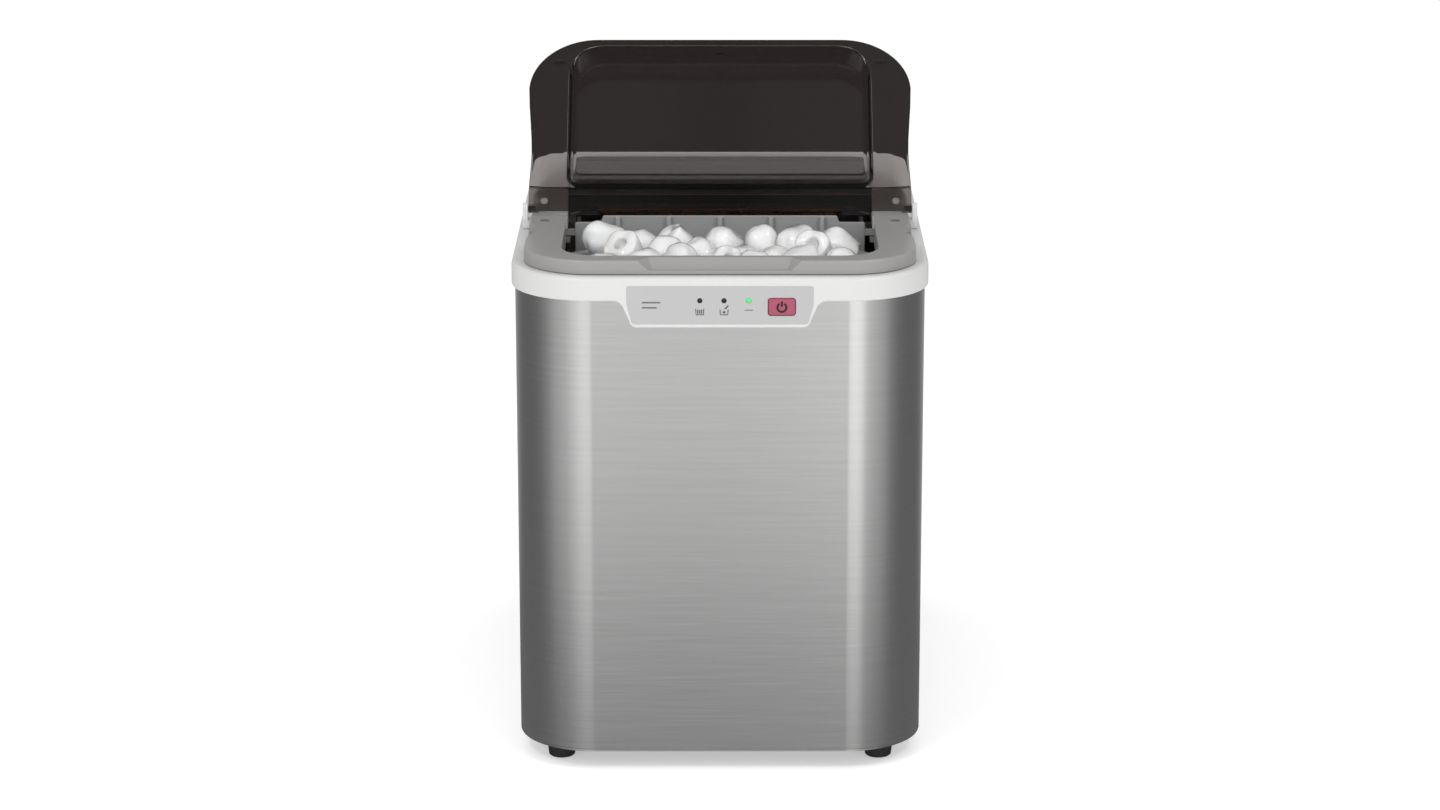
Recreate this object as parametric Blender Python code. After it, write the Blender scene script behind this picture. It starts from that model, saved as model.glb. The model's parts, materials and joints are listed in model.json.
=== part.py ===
"""Countertop bullet ice maker with a smoked lid, standing on four feet.

Run with: blender --background --python part.py
Every named size below is in millimetres; meshes are made in metres.
X is the width, -Y the front, +Z up, and the origin is on the floor under the middle.
"""
import math

import bpy
import bmesh

MM = 0.001

# Driving dimensions of the casing
FRONT_Y = -179.0
REAR_Y = 179.0
RIM_HALF_W = 121.0
RIM_FRONT_R = 48.0
RIM_REAR_R = 20.0
CABINET_INSET = 2.0
CABINET_BOTTOM = 11.5
SHEET = 1.0
RIM_BOTTOM = 284.0
RIM_TOP = 298.0
SKIRT = 1.7
GAP = 0.3

# Bezel and rear cover
BEZEL_HALF_W = 113.5
BEZEL_TOP = 306.5
BEZEL_FRONT_Y = -173.0
BEZEL_REAR_Y = -52.0
OPENING_HALF_W = 92.6
OPENING_FRONT_Y = -161.0
COVER_TOP = 320.0
COVER_DECK = 300.8
COVER_REAR_Y = 171.0
COVER_BLOCK_REAR_Y = 70.0
WINDOW_HALF_W = 91.5
WINDOW_REAR_Y = 46.0
WINDOW_LAP = 13.0
WINDOW_CORNER_R = 9.0
WALL = 2.5

# Lid: u runs forward from the hinge axis, v up from the brim's underside, as when shut
HINGE_Y = -46.0
HINGE_Z = 309.5
LID_OPEN_DEG = 134.0
LID_AXIS_V = 2.6
LID_LENGTH = 121.0
LID_TAIL = 2.7
BRIM = 2.0
CROWN_HEIGHT = 21.0
CROWN_HALF_W = 92.0
CROWN_START_U = 15.0
CROWN_RUN = 18.5
CROWN_END_U = 118.0

# Control panel
PANEL_FACE_Y = -179.0
BUTTON_X = 35.2
BUTTON_Z = 280.9
BUTTON_HALF = (7.7, 4.9)
LENS_X = (-11.5, 2.3, 16.4)
LENS_Z = 284.5
LENS_R = 1.4

# Ice making unit
TRAY_Y = 10.0
TRAY_Z = 286.0
TRAY_R = 42.0
TRAY_HALF_W = 88.0
TRAY_SPAN_DEG = 55.0
FINGER_COUNT = 9
FINGER_PITCH = 17.0
FINGER_R = 4.0
SHOVEL_Y = -50.5
FAN_Y = 105.0
FAN_Z = 108.0
FAN_R = 48.0
DRAIN_X = 70.0
GLAND_X = -70.0
OUTLET_Z = 44.0

WHITE = ("white_plastic", (0.83, 0.83, 0.84), 0.35, 0.0)
STEEL = ("brushed_steel", (0.60, 0.60, 0.60), 0.32, 1.0)
GREY = ("grey_plastic", (0.33, 0.33, 0.33), 0.35, 0.0)
LINER_GREY = ("liner_grey", (0.42, 0.42, 0.42), 0.45, 0.0)
SMOKE = ("smoked_plastic", (0.06, 0.05, 0.045), 0.08, 0.0)
BLACK = ("black_plastic", (0.02, 0.02, 0.02), 0.45, 0.0)
RUBBER = ("black_rubber", (0.015, 0.015, 0.015), 0.8, 0.0)
ZINC = ("zinc_sheet", (0.55, 0.56, 0.58), 0.45, 1.0)
COPPER = ("copper_tube", (0.72, 0.38, 0.22), 0.3, 1.0)
BOARD = ("circuit_board", (0.02, 0.16, 0.06), 0.5, 0.0)
PINK = ("pink_button", (0.55, 0.07, 0.17), 0.4, 0.0)
GREEN = ("green_lens", (0.05, 0.7, 0.2), 0.2, 0.0)
PANEL = ("panel_overlay", (0.56, 0.56, 0.56), 0.4, 0.0)
ALUMINIUM = ("aluminium_fins", (0.72, 0.73, 0.74), 0.35, 1.0)
MATERIALS = {}


def clear_scene():
    for obj in list(bpy.data.objects):
        bpy.data.objects.remove(obj, do_unlink=True)


def material(spec):
    name, colour, roughness, metallic = spec
    if name not in MATERIALS:
        made = bpy.data.materials.new(name)
        made.use_nodes = True
        shader = made.node_tree.nodes["Principled BSDF"]
        shader.inputs["Base Color"].default_value = (*colour, 1.0)
        shader.inputs["Roughness"].default_value = roughness
        shader.inputs["Metallic"].default_value = metallic
        made.diffuse_color = (*colour, 1.0)
        MATERIALS[name] = made
    return MATERIALS[name]


def finish_mesh(name, bm, spec, smooth_deg=35.0):
    """Turn a bmesh in millimetres into a named object in metres with its faces pointing out."""
    bmesh.ops.connect_verts_nonplanar(bm, angle_limit=0.0005, faces=bm.faces)
    bmesh.ops.recalc_face_normals(bm, faces=bm.faces)
    bmesh.ops.scale(bm, vec=(MM, MM, MM), verts=bm.verts)
    mesh = bpy.data.meshes.new(name)
    bm.to_mesh(mesh)
    bm.free()
    mesh.shade_smooth()
    mesh.set_sharp_from_angle(angle=math.radians(smooth_deg))
    mesh.materials.append(material(spec))
    obj = bpy.data.objects.new(name, mesh)
    bpy.context.scene.collection.objects.link(obj)
    return obj


def loft(name, loops, spec, ring=False):
    """Join loops of equal length in order; a ring closes on itself, else both ends are capped."""
    bm = bmesh.new()
    rows = [[bm.verts.new(point) for point in loop] for loop in loops]
    pairs = list(zip(rows, rows[1:]))
    if ring:
        pairs.append((rows[-1], rows[0]))
    for low, high in pairs:
        count = len(low)
        for i in range(count):
            j = (i + 1) % count
            bm.faces.new((low[i], low[j], high[j], high[i]))
    if not ring:
        bm.faces.new(list(reversed(rows[0])))
        bm.faces.new(rows[-1])
    return finish_mesh(name, bm, spec)


def prism(name, outline, low, high, spec, axis="Z"):
    """Extrude a 2-D outline along an axis; the outline's axes are the other two, in X, Y, Z order."""
    def place(a, b, c):
        return {"X": (c, a, b), "Y": (a, c, b), "Z": (a, b, c)}[axis]
    loops = [[place(a, b, c) for a, b in outline] for c in (low, high)]
    return loft(name, loops, spec)


def box(name, x, y, z, spec):
    return prism(name, [(x[0], y[0]), (x[1], y[0]), (x[1], y[1]), (x[0], y[1])], z[0], z[1], spec)


def boxes(name, extents, spec=BLACK):
    """Several separate boxes in one mesh, used as a cutter."""
    bm = bmesh.new()
    for x, y, z in extents:
        cube = bmesh.ops.create_cube(bm, size=1.0)["verts"]
        bmesh.ops.scale(bm, vec=(x[1] - x[0], y[1] - y[0], z[1] - z[0]), verts=cube)
        middle = ((x[0] + x[1]) / 2, (y[0] + y[1]) / 2, (z[0] + z[1]) / 2)
        bmesh.ops.translate(bm, vec=middle, verts=cube)
    return finish_mesh(name, bm, spec)


def turn(name, profile, centre, axis, spec, sides=20):
    """Turn (radius, height) points about an axis through centre; a radius of 0 closes an end."""
    def place(radius, height, angle):
        a = radius * math.cos(angle)
        b = radius * math.sin(angle)
        local = {"X": (height, a, b), "Y": (b, height, a), "Z": (a, b, height)}[axis]
        return tuple(c + d for c, d in zip(centre, local))
    loops = []
    for radius, height in profile:
        loops.append([place(radius, height, math.tau * i / sides) for i in range(sides)])
    return loft(name, loops, spec)


def rod(name, centre, axis, radius, low, high, spec, sides=16):
    return turn(name, [(radius, low), (radius, high)], centre, axis, spec, sides)


def rods(name, centres, axis, radius, low, high, spec=BLACK, sides=12):
    """Separate parallel rods in one mesh, used as a tool for a union or a cut."""
    bm = bmesh.new()
    for centre in centres:
        rings = []
        for height in (low, high):
            ring = []
            for i in range(sides):
                a = radius * math.cos(math.tau * i / sides)
                b = radius * math.sin(math.tau * i / sides)
                local = {"X": (height, a, b), "Y": (a, height, b), "Z": (a, b, height)}[axis]
                ring.append(bm.verts.new(tuple(c + d for c, d in zip(centre, local))))
            rings.append(ring)
        for i in range(sides):
            j = (i + 1) % sides
            bm.faces.new((rings[0][i], rings[0][j], rings[1][j], rings[1][i]))
        bm.faces.new(list(reversed(rings[0])))
        bm.faces.new(rings[1])
    return finish_mesh(name, bm, spec)


def arc(cx, cy, rx, ry, start_deg, end_deg, steps):
    points = []
    for i in range(steps + 1):
        angle = math.radians(start_deg + (end_deg - start_deg) * i / steps)
        points.append((cx + rx * math.cos(angle), cy + ry * math.sin(angle)))
    return points


def rounded(half_w, y0, y1, front_r, rear_r, inset=0.0, steps=7):
    """Rounded rectangle outline, anticlockwise from above, moved inwards by inset."""
    half = half_w - inset
    low = y0 + inset
    high = y1 - inset
    front = max(front_r - inset, 0.4)
    rear = max(rear_r - inset, 0.4)
    points = arc(half - front, low + front, front, front, -90, 0, steps)
    points += arc(half - rear, high - rear, rear, rear, 0, 90, steps)
    points += arc(rear - half, high - rear, rear, rear, 90, 180, steps)
    points += arc(front - half, low + front, front, front, 180, 270, steps)
    return points


def rim_outline(inset, steps=7):
    return rounded(RIM_HALF_W, FRONT_Y, REAR_Y, RIM_FRONT_R, RIM_REAR_R, inset, steps)


def cut(target, tool, operation="DIFFERENCE"):
    """Add a Boolean with a hidden tool; the tool keeps the target's placement if it has one."""
    modifier = target.modifiers.new(tool.name, "BOOLEAN")
    modifier.operation = operation
    modifier.object = tool
    tool.hide_render = True
    tool.display_type = "WIRE"


def join(target, tool):
    cut(target, tool, "UNION")


def smooth_path(points, per_span=4):
    """Points along a Catmull-Rom curve through the given points."""
    padded = [points[0]] + list(points) + [points[-1]]
    path = []
    for i in range(1, len(padded) - 2):
        p0, p1, p2, p3 = padded[i - 1:i + 3]
        for step in range(per_span):
            t = step / per_span
            path.append(tuple(
                0.5 * (2 * b + (c - a) * t + (2 * a - 5 * b + 4 * c - d) * t ** 2
                       + (3 * b - a - 3 * c + d) * t ** 3)
                for a, b, c, d in zip(p0, p1, p2, p3)))
    path.append(tuple(points[-1]))
    return path


def tube(name, points, radius, spec):
    curve = bpy.data.curves.new(name, "CURVE")
    curve.dimensions = "3D"
    curve.bevel_depth = radius * MM
    curve.bevel_resolution = 2
    curve.use_fill_caps = True
    path = smooth_path(points)
    spline = curve.splines.new("POLY")
    spline.points.add(len(path) - 1)
    for point, place in zip(spline.points, path):
        point.co = (place[0] * MM, place[1] * MM, place[2] * MM, 1.0)
    curve.materials.append(material(spec))
    obj = bpy.data.objects.new(name, curve)
    bpy.context.scene.collection.objects.link(obj)
    return obj


# ---------------------------------------------------------------- casing

def cabinet_wrap():
    """One steel sheet bent round the front and sides, with a flange at each rear edge."""
    flange_x = 88.0
    rear = 174.9
    front = FRONT_Y + CABINET_INSET
    half = RIM_HALF_W - CABINET_INSET
    outer = rounded(half, front, rear, RIM_FRONT_R - CABINET_INSET, 18.0)
    inner = rounded(half, front, rear, RIM_FRONT_R - CABINET_INSET, 18.0, SHEET)
    corner = len(outer) // 4
    split = 2 * corner
    outer_path = outer[split:] + outer[:split]
    inner_path = inner[split:] + inner[:split]
    outline = [(-flange_x, rear)] + outer_path + [(flange_x, rear)]
    outline += [(flange_x, rear - SHEET)] + inner_path[::-1] + [(-flange_x, rear - SHEET)]
    wrap = prism("cabinet_wrap", outline, CABINET_BOTTOM, 294.8, STEEL)
    notch = [((-47.0, 47.0), (-180.0, -170.0), (271.0, 300.0))]
    cut(wrap, boxes("cut_panel_notch", notch))
    slots = []
    for row in range(12):
        z = 60.0 + 9.0 * row
        slots.append(((-125.0, 125.0), (60.0, 92.0), (z, z + 3.2)))
        slots.append(((-125.0, 125.0), (104.0, 136.0), (z, z + 3.2)))
    cut(wrap, boxes("cut_side_louvres", slots))


def base_pan():
    loops = []
    for inset, z in ((3.4, 12.0), (3.4, 22.0), (4.6, 22.0), (4.6, 13.2)):
        loops.append([(x, y, z) for x, y in rounded(121.0, FRONT_Y, 177.0, 48.0, 20.0, inset)])
    loft("base_pan", loops, ZINC)


def rear_panel():
    panel = prism("rear_panel", [(-99.5, 13.0), (99.5, 13.0), (99.5, 293.0), (-99.5, 293.0)],
                  175.2, 176.4, ZINC, "Y")
    slots = []
    for row in range(9):
        z = 150.0 + 10.0 * row
        slots.append(((-70.0, -6.0), (170.0, 180.0), (z, z + 4.0)))
        slots.append(((6.0, 70.0), (170.0, 180.0), (z, z + 4.0)))
    cut(panel, boxes("cut_rear_vents", slots))
    screws = [(x, 0, z) for x in (-93.0, 93.0) for z in (24.0, 276.0)]
    cut(panel, rods("cut_screw_holes", screws, "Y", 2.2, 170.0, 180.0))
    outlets = [(GLAND_X, 0, OUTLET_Z), (DRAIN_X, 0, OUTLET_Z)]
    cut(panel, rods("cut_outlet_holes", outlets, "Y", 7.4, 170.0, 180.0, BLACK, 20))
    profile = [(1.8, 175.1), (1.8, 176.8), (3.6, 176.7), (3.4, 177.9), (2.0, 178.6), (0.4, 178.7)]
    for i, centre in enumerate(screws):
        turn(f"rear_screw_{i + 1}", profile, centre, "Y", ZINC, 12)


def feet():
    for side, x in (("left", -94.0), ("right", 94.0)):
        for end, y in (("front", -149.0), ("rear", 148.0)):
            profile = [(7.0, 0.0), (7.8, 0.8), (9.0, 11.6)]
            turn(f"foot_{end}_{side}", profile, (x, y, 0), "Z", RUBBER)


def panel_tab_outline():
    """Right half of the tab below the rim, from the rim down to the bottom edge."""
    half = [(60.0, 285.5), (57.5, 284.0), (54.8, 281.5), (53.4, 278.0), (52.0, 273.2)]
    half += arc(47.4, 272.6, 4.3, 4.1, 0, -90, 4)
    return half + [(-x, z) for x, z in reversed(half)]


def overlay_outline(grow=0.0):
    top = 293.0 + grow
    half = [(51.8 + grow, top), (53.3 + grow, top - 1.6), (53.3 + grow, 282.5)]
    half += [(50.6 + grow, 272.4 - grow), (48.8 + grow, 270.8 - grow)]
    return half + [(-x, z) for x, z in reversed(half)]


def top_rim():
    """White frame round the top: a skirt over the cabinet, a flat top and the panel tab."""
    section = [(0.5, RIM_BOTTOM), (0.0, RIM_BOTTOM + 0.6), (0.0, RIM_TOP - 1.6), (0.5, RIM_TOP - 0.4),
               (1.6, RIM_TOP), (14.5, RIM_TOP), (14.5, RIM_TOP - 2.2), (SKIRT, RIM_TOP - 2.2),
               (SKIRT, RIM_BOTTOM)]
    loops = []
    for inset, z in section:
        loops.append([(x, y, z) for x, y in rim_outline(inset)])
    rim = loft("top_rim", loops, WHITE, ring=True)
    join(rim, prism("add_panel_tab", panel_tab_outline(), FRONT_Y, FRONT_Y + SKIRT, WHITE, "Y"))
    cut(rim, prism("cut_overlay_seat", overlay_outline(GAP), FRONT_Y - 2.0, FRONT_Y + 0.8, WHITE, "Y"))
    cut(rim, rods("cut_lens_holes", [(x, 0, LENS_Z) for x in LENS_X], "Y", LENS_R + 0.3, -185.0, -172.0))
    cut(rim, button_hole("cut_button_hole"))


def button_hole(name):
    half_x = BUTTON_HALF[0] + 0.3
    half_z = BUTTON_HALF[1] + 0.3
    span = [((BUTTON_X - half_x, BUTTON_X + half_x), (-185.0, -172.0),
             (BUTTON_Z - half_z, BUTTON_Z + half_z))]
    return boxes(name, span)


def control_panel():
    overlay = prism("control_overlay", overlay_outline(), FRONT_Y + 0.05, FRONT_Y + 0.5, PANEL, "Y")
    lenses = [(x, 0, LENS_Z) for x in LENS_X]
    cut(overlay, rods("cut_overlay_lenses", lenses, "Y", LENS_R + 0.3, -185.0, -172.0))
    cut(overlay, button_hole("cut_overlay_button"))
    names = ("lens_ice_full", "lens_add_water", "lens_running")
    for name, x, spec in zip(names, LENS_X, (BLACK, BLACK, GREEN)):
        profile = [(LENS_R, -175.0), (LENS_R, -178.9), (LENS_R * 0.6, -179.3)]
        turn(name, profile[::-1], (x, 0, LENS_Z), "Y", spec, 14)
    box("control_board", (-45.0, 45.0), (-172.4, -170.8), (272.5, 293.0), BOARD)
    box("tact_switch", (BUTTON_X - 3, BUTTON_X + 3), (-174.8, -172.7), (BUTTON_Z - 3, BUTTON_Z + 3), BLACK)
    power_button()


def power_button():
    """Cap in front, stem behind; the stem's end stands 1.3 mm off the switch at rest."""
    half_x, half_z = BUTTON_HALF
    bm_loops = []
    for inset, y in ((0.9, 0.0), (0.0, 0.7), (0.0, 3.0)):
        outline = rounded(half_x, -half_z, half_z, 1.6, 1.6, inset, 3)
        bm_loops.append([(x, y, z) for x, z in outline])
    cap = loft("power_button", bm_loops, PINK)
    stem = box("add_button_stem", (-2.0, 2.0), (2.0, 3.9), (-2.0, 2.0), PINK)
    for obj in (cap, stem):
        obj.location = (BUTTON_X * MM, (PANEL_FACE_Y - 1.0) * MM, BUTTON_Z * MM)
    join(cap, stem)


# ---------------------------------------------------------------- top: bezel, cover, lid

def u_outline(outer_w, inner_w, y0, y1, rear, outer_r, inner_r):
    """U shape open at the rear: the outer edge from rear right round the front, then back inside."""
    outer = [(outer_w, rear)] + arc(outer_w - outer_r, y0 + outer_r, outer_r, outer_r, 0, -90, 8)
    outer += arc(outer_r - outer_w, y0 + outer_r, outer_r, outer_r, -90, -180, 8) + [(-outer_w, rear)]
    inner = [(-inner_w, rear)] + arc(inner_r - inner_w, y1 + inner_r, inner_r, inner_r, -180, -90, 6)
    inner += arc(inner_w - inner_r, y1 + inner_r, inner_r, inner_r, -90, 0, 6) + [(inner_w, rear)]
    return outer + inner


def bezel():
    """Grey raised frame round the compartment, with a front grip and a finger grip each side."""
    outline = u_outline(BEZEL_HALF_W, OPENING_HALF_W, BEZEL_FRONT_Y, OPENING_FRONT_Y, BEZEL_REAR_Y,
                        40.0, 24.0)
    frame = prism("bezel", outline, 288.0, BEZEL_TOP, GREY)
    outside = u_outline(130.0, OPENING_HALF_W + 2.0, -190.0, OPENING_FRONT_Y - 2.0, BEZEL_REAR_Y + 5.0,
                        40.0, 26.0)
    cut(frame, prism("cut_outside_skirt", outside, 280.0, RIM_TOP + GAP, GREY))
    hollows = []
    for side in (-1, 1):
        x = sorted((side * 97.0, side * 107.0))
        hollows.append((x, (-130.0, -54.5), (290.0, BEZEL_TOP - 2.2)))
    cut(frame, boxes("cut_bezel_hollows", hollows))
    low = [(-48.0, -175.0), (48.0, -175.0), (48.0, -172.4), (-48.0, -172.4)]
    high = [(-44.0, -175.0), (44.0, -175.0), (41.0, -165.0), (-41.0, -165.0)]
    loops = [[(x, y, 300.2) for x, y in low], [(x, y, BEZEL_TOP + 0.6) for x, y in high]]
    cut(frame, loft("cut_front_grip", loops, GREY))
    for side, name in ((-1, "left"), (1, "right")):
        scallop = [(116.0, -112.0), (BEZEL_HALF_W, -110.5), (109.8, -104.0), (109.8, -77.0),
                   (BEZEL_HALF_W, -69.5), (116.0, -68.0)]
        tool = prism(f"cut_side_grip_{name}", [(side * x, y) for x, y in scallop], 300.5, 310.0, GREY)
        cut(frame, tool)


def rear_cover():
    """White shell over the ice making unit, open in the middle for the window and the ice."""
    outer = [(-51.7, RIM_TOP + GAP), (-51.7, 304.5), (-41.8, 304.5), (-35.5, COVER_TOP),
             (COVER_BLOCK_REAR_Y - 1.5, COVER_TOP), (COVER_BLOCK_REAR_Y + 1.5, COVER_TOP - 1.2),
             (86.5, COVER_DECK), (COVER_REAR_Y, COVER_DECK), (COVER_REAR_Y, RIM_TOP + GAP)]
    cover = prism("rear_cover", outer, -BEZEL_HALF_W, BEZEL_HALF_W, WHITE, "X")
    plan = rounded(BEZEL_HALF_W, -60.0, COVER_REAR_Y, 0.4, 18.0)
    cut(cover, prism("keep_cover_plan", plan, 290.0, 330.0, WHITE), "INTERSECT")
    front_hollow = [(-49.2, 290.0), (-49.2, 302.0), (-40.1, 302.0), (-33.8, COVER_TOP - WALL),
                    (WINDOW_REAR_Y, COVER_TOP - WALL), (WINDOW_REAR_Y, 290.0)]
    for side, name in ((-1, "left"), (1, "right")):
        x = sorted((side * (WINDOW_HALF_W + 2.5), side * (BEZEL_HALF_W - WALL)))
        cut(cover, prism(f"cut_cover_hollow_{name}", front_hollow, x[0], x[1], WHITE, "X"))
    rear_hollow = [(WINDOW_REAR_Y + 2.5, 290.0), (WINDOW_REAR_Y + 2.5, COVER_TOP - WALL),
                   (COVER_BLOCK_REAR_Y - 2.0, COVER_TOP - WALL), (81.0, 302.0), (81.0, 290.0)]
    cut(cover, prism("cut_cover_hollow_rear", rear_hollow, -98.0, 98.0, WHITE, "X"))
    opening = [((-WINDOW_HALF_W, WINDOW_HALF_W), (-60.0, WINDOW_REAR_Y), (290.0, 330.0))]
    cut(cover, boxes("cut_cover_opening", opening))
    rebate = rounded(WINDOW_HALF_W, 40.0, WINDOW_REAR_Y + WINDOW_LAP + GAP, 0.4, WINDOW_CORNER_R + GAP)
    cut(cover, prism("cut_cover_rebate", rebate, 318.2, 330.0, WHITE))
    notches = [(x, (WINDOW_REAR_Y - 1.0, WINDOW_REAR_Y + 4.0), (290.0, 306.0))
               for x in ((-78.0, -66.0), (40.0, 50.0))]
    notches.append(((-97.0, -90.0), (-10.0, 4.0), (290.0, 313.0)))
    cut(cover, boxes("cut_cover_notches", notches))
    for side, name in ((-1, "left"), (1, "right")):
        ear = [(-51.0, 299.0), (-41.0, 299.0)] + arc(-46.0, HINGE_Z, 3.6, 3.6, -10, 190, 8)
        x = sorted((side * 115.4, side * 118.4))
        join(cover, prism(f"add_hinge_ear_{name}", ear, x[0], x[1], WHITE, "X"))
        x = sorted((side * 112.0, side * 118.4))
        join(cover, box(f"add_ear_foot_{name}", x, (-51.0, -41.0), (RIM_TOP + GAP, 303.0), WHITE))
        cut(cover, rod(f"cut_ear_bore_{name}", (0, HINGE_Y, HINGE_Z), "X", 1.56, x[0] - 1, x[1] + 1, WHITE))


def rear_window():
    """Fixed smoked pane over the evaporator, bent down at the front to a short lip."""
    rear = WINDOW_REAR_Y + WINDOW_LAP
    section = [(-37.1, 316.0), (-35.5, 319.9), (rear + 5.0, 319.9), (rear + 5.0, 318.3),
               (-34.4, 318.3), (-35.4, 316.0)]
    pane = prism("rear_window", section, -95.0, 95.0, SMOKE, "X")
    plan = rounded(91.2, -60.0, rear, 0.4, WINDOW_CORNER_R)
    cut(pane, prism("keep_pane_plan", plan, 310.0, 330.0, SMOKE), "INTERSECT")
    lintel = [(-39.7, 309.6), (-37.25, 315.7), (-35.3, 315.7), (-37.7, 309.6)]
    prism("window_lintel", lintel, -91.2, 91.2, BLACK, "X")
    for side, name in ((-1, "left"), (1, "right")):
        x = sorted((side * 73.5, side * 91.0))
        housing = box(f"ice_sensor_{name}", x, (-40.5, -31.5), (304.2, 309.2), BLACK)
        centre = (side * 80.0, 0, 306.8)
        join(housing, turn(f"add_sensor_eye_{name}", [(1.5, -41.2), (1.7, -39.0)], centre, "Y", BLACK, 12))


def lid_brim_half():
    """Right half of the brim's edge as (x, u), from the hinge side to the free end."""
    half = [(115.0, -LID_TAIL), (115.0, 18.0), (114.2, 26.0), (113.7, 36.0), (114.4, 52.0), (116.4, 80.0)]
    return half + arc(74.6, 83.5, 42.0, LID_LENGTH - 83.5, 3, 90, 8)


def crown_loop(half_w, start_u, end_u, corner, v):
    outline = rounded(half_w, -end_u, -start_u, corner, 6.0, 0.0, 5)
    return [(x, y, v - LID_AXIS_V) for x, y in outline]


def lid():
    """Smoked lid, made shut about its hinge axis and then turned to its open rest position."""
    half = lid_brim_half()
    outline = [(x, -u) for x, u in half] + [(-x, -u) for x, u in reversed(half)]
    shell = prism("lid_shell", outline, -LID_AXIS_V, BRIM - LID_AXIS_V, SMOKE)

    def slope(v, shift=0.0):
        return CROWN_START_U + CROWN_RUN * (v - BRIM) / (CROWN_HEIGHT - BRIM) + shift
    outer = [crown_loop(CROWN_HALF_W, slope(1.0), CROWN_END_U, 20.0, 1.0),
             crown_loop(CROWN_HALF_W - 0.6, slope(19.6), CROWN_END_U - 0.4, 19.5, 19.6),
             crown_loop(CROWN_HALF_W - 2.2, slope(21.0, 0.8), CROWN_END_U - 2.0, 18.0, CROWN_HEIGHT)]
    inner = [crown_loop(CROWN_HALF_W - 2.0, slope(-1.0, 2.8), CROWN_END_U - 2.0, 18.0, -1.0),
             crown_loop(CROWN_HALF_W - 2.8, slope(19.0, 2.8), CROWN_END_U - 2.6, 17.0, 19.0)]
    tools = [(loft("add_lid_crown", outer, SMOKE), "UNION"),
             (loft("cut_lid_crown", inner, SMOKE), "DIFFERENCE")]
    for side, name in ((-1, "left"), (1, "right")):
        x = sorted((side * 109.0, side * 115.0))
        tools.append((rod(f"add_knuckle_{name}", (0, 0, 0), "X", LID_AXIS_V, x[0], x[1], SMOKE), "UNION"))
        x = sorted((side * 110.5, side * 116.0))
        tools.append((rod(f"cut_knuckle_{name}", (0, 0, 0), "X", 1.56, x[0], x[1], SMOKE), "DIFFERENCE"))
    placed = [shell]
    for tool, operation in tools:
        cut(shell, tool, operation)
        placed.append(tool)
    for side, name in ((-1, "left"), (1, "right")):
        centre = (side * 105.5, -3.2, -LID_AXIS_V)
        profile = [(1.6, -1.3), (2.3, -0.9), (2.3, -GAP)]
        placed.append(turn(f"lid_bumper_{name}", profile, centre, "Z", RUBBER, 14))
        x = sorted((side * 111.0, side * 118.2))
        rod(f"hinge_pin_{name}", (0, HINGE_Y, HINGE_Z), "X", 1.5, x[0], x[1], ZINC)
    for obj in placed:
        obj.location = (0.0, HINGE_Y * MM, HINGE_Z * MM)
        obj.rotation_euler = (-math.radians(LID_OPEN_DEG), 0.0, 0.0)


# ---------------------------------------------------------------- compartment

def inner_liner():
    """Open-topped tub: a deep front for the water and a shallow rear floor for the tray."""
    outer = [(-166.5, 100.0), (-28.0, 100.0), (-28.0, 205.0), (62.0, 205.0), (62.0, 294.0), (-166.5, 294.0)]
    tub = prism("inner_liner", outer, -104.0, 104.0, LINER_GREY, "X")
    inner = [(-164.5, 102.0), (-30.0, 102.0), (-30.0, 207.0), (60.0, 207.0), (60.0, 300.0), (-164.5, 300.0)]
    hollow = prism("cut_liner", inner, -102.0, 102.0, LINER_GREY, "X")
    outer_plan = rounded(104.0, -166.5, 62.0, 26.0, 4.0)
    inner_plan = rounded(102.0, -164.5, 60.0, 24.0, 2.0)
    cut(tub, prism("keep_liner_plan", outer_plan, 90.0, 310.0, LINER_GREY), "INTERSECT")
    cut(hollow, prism("keep_hollow_plan", inner_plan, 90.0, 310.0, LINER_GREY), "INTERSECT")
    cut(tub, hollow)
    for side, name in ((-1, "left"), (1, "right")):
        x = sorted((side * 87.5, side * 103.0))
        join(tub, box(f"add_basket_ledge_{name}", x, (-135.0, -60.0), (280.0, 284.0), LINER_GREY))
        x = sorted((side * 90.0, side * 103.0))
        join(tub, box(f"add_shovel_rail_{name}", x, (-52.0, -9.0), (290.0, 293.4), LINER_GREY))
    cut(tub, rod("cut_drain_outlet", (86.0, -110.0, 0), "Z", 4.4, 98.0, 104.0, LINER_GREY))


def ice_basket():
    loops = []
    for inset, z in ((0.0, 216.0), (0.0, 284.4), (-4.8, 284.4), (-4.8, 286.2), (1.8, 286.2), (1.8, 218.0)):
        outline = rounded(86.0, -153.0, -60.0, 14.0, 10.0, inset, 5)
        loops.append([(x, y, z) for x, y in outline])
    basket = loft("ice_basket", loops, LINER_GREY)
    side_slots = [((-100.0, 100.0), (y, y + 3.0), (226.0, 270.0))
                  for y in (-136.0, -122.0, -108.0, -94.0, -80.0)]
    cut(basket, boxes("cut_basket_sides", side_slots))
    end_slots = [((x, x + 3.0), (-160.0, -55.0), (226.0, 270.0))
                 for x in (-62.0, -42.0, -22.0, -2.0, 18.0, 38.0, 58.0)]
    cut(basket, boxes("cut_basket_ends", end_slots))


def evaporator():
    block = box("evaporator", (-80.0, 80.0), (3.0, 17.0), (296.0, 306.0), COPPER)
    offset = (FINGER_COUNT - 1) / 2
    centres = [((i - offset) * FINGER_PITCH, TRAY_Y, 0) for i in range(FINGER_COUNT)]
    join(block, rods("add_fingers", centres, "Z", FINGER_R, 253.0, 297.0, COPPER))
    bracket = [(17.4, 298.0), (19.2, 298.0), (19.2, 312.6), (45.6, 312.6), (45.6, 314.4), (17.4, 314.4)]
    prism("evaporator_bracket", bracket, -30.0, 30.0, ZINC, "X")


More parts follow.
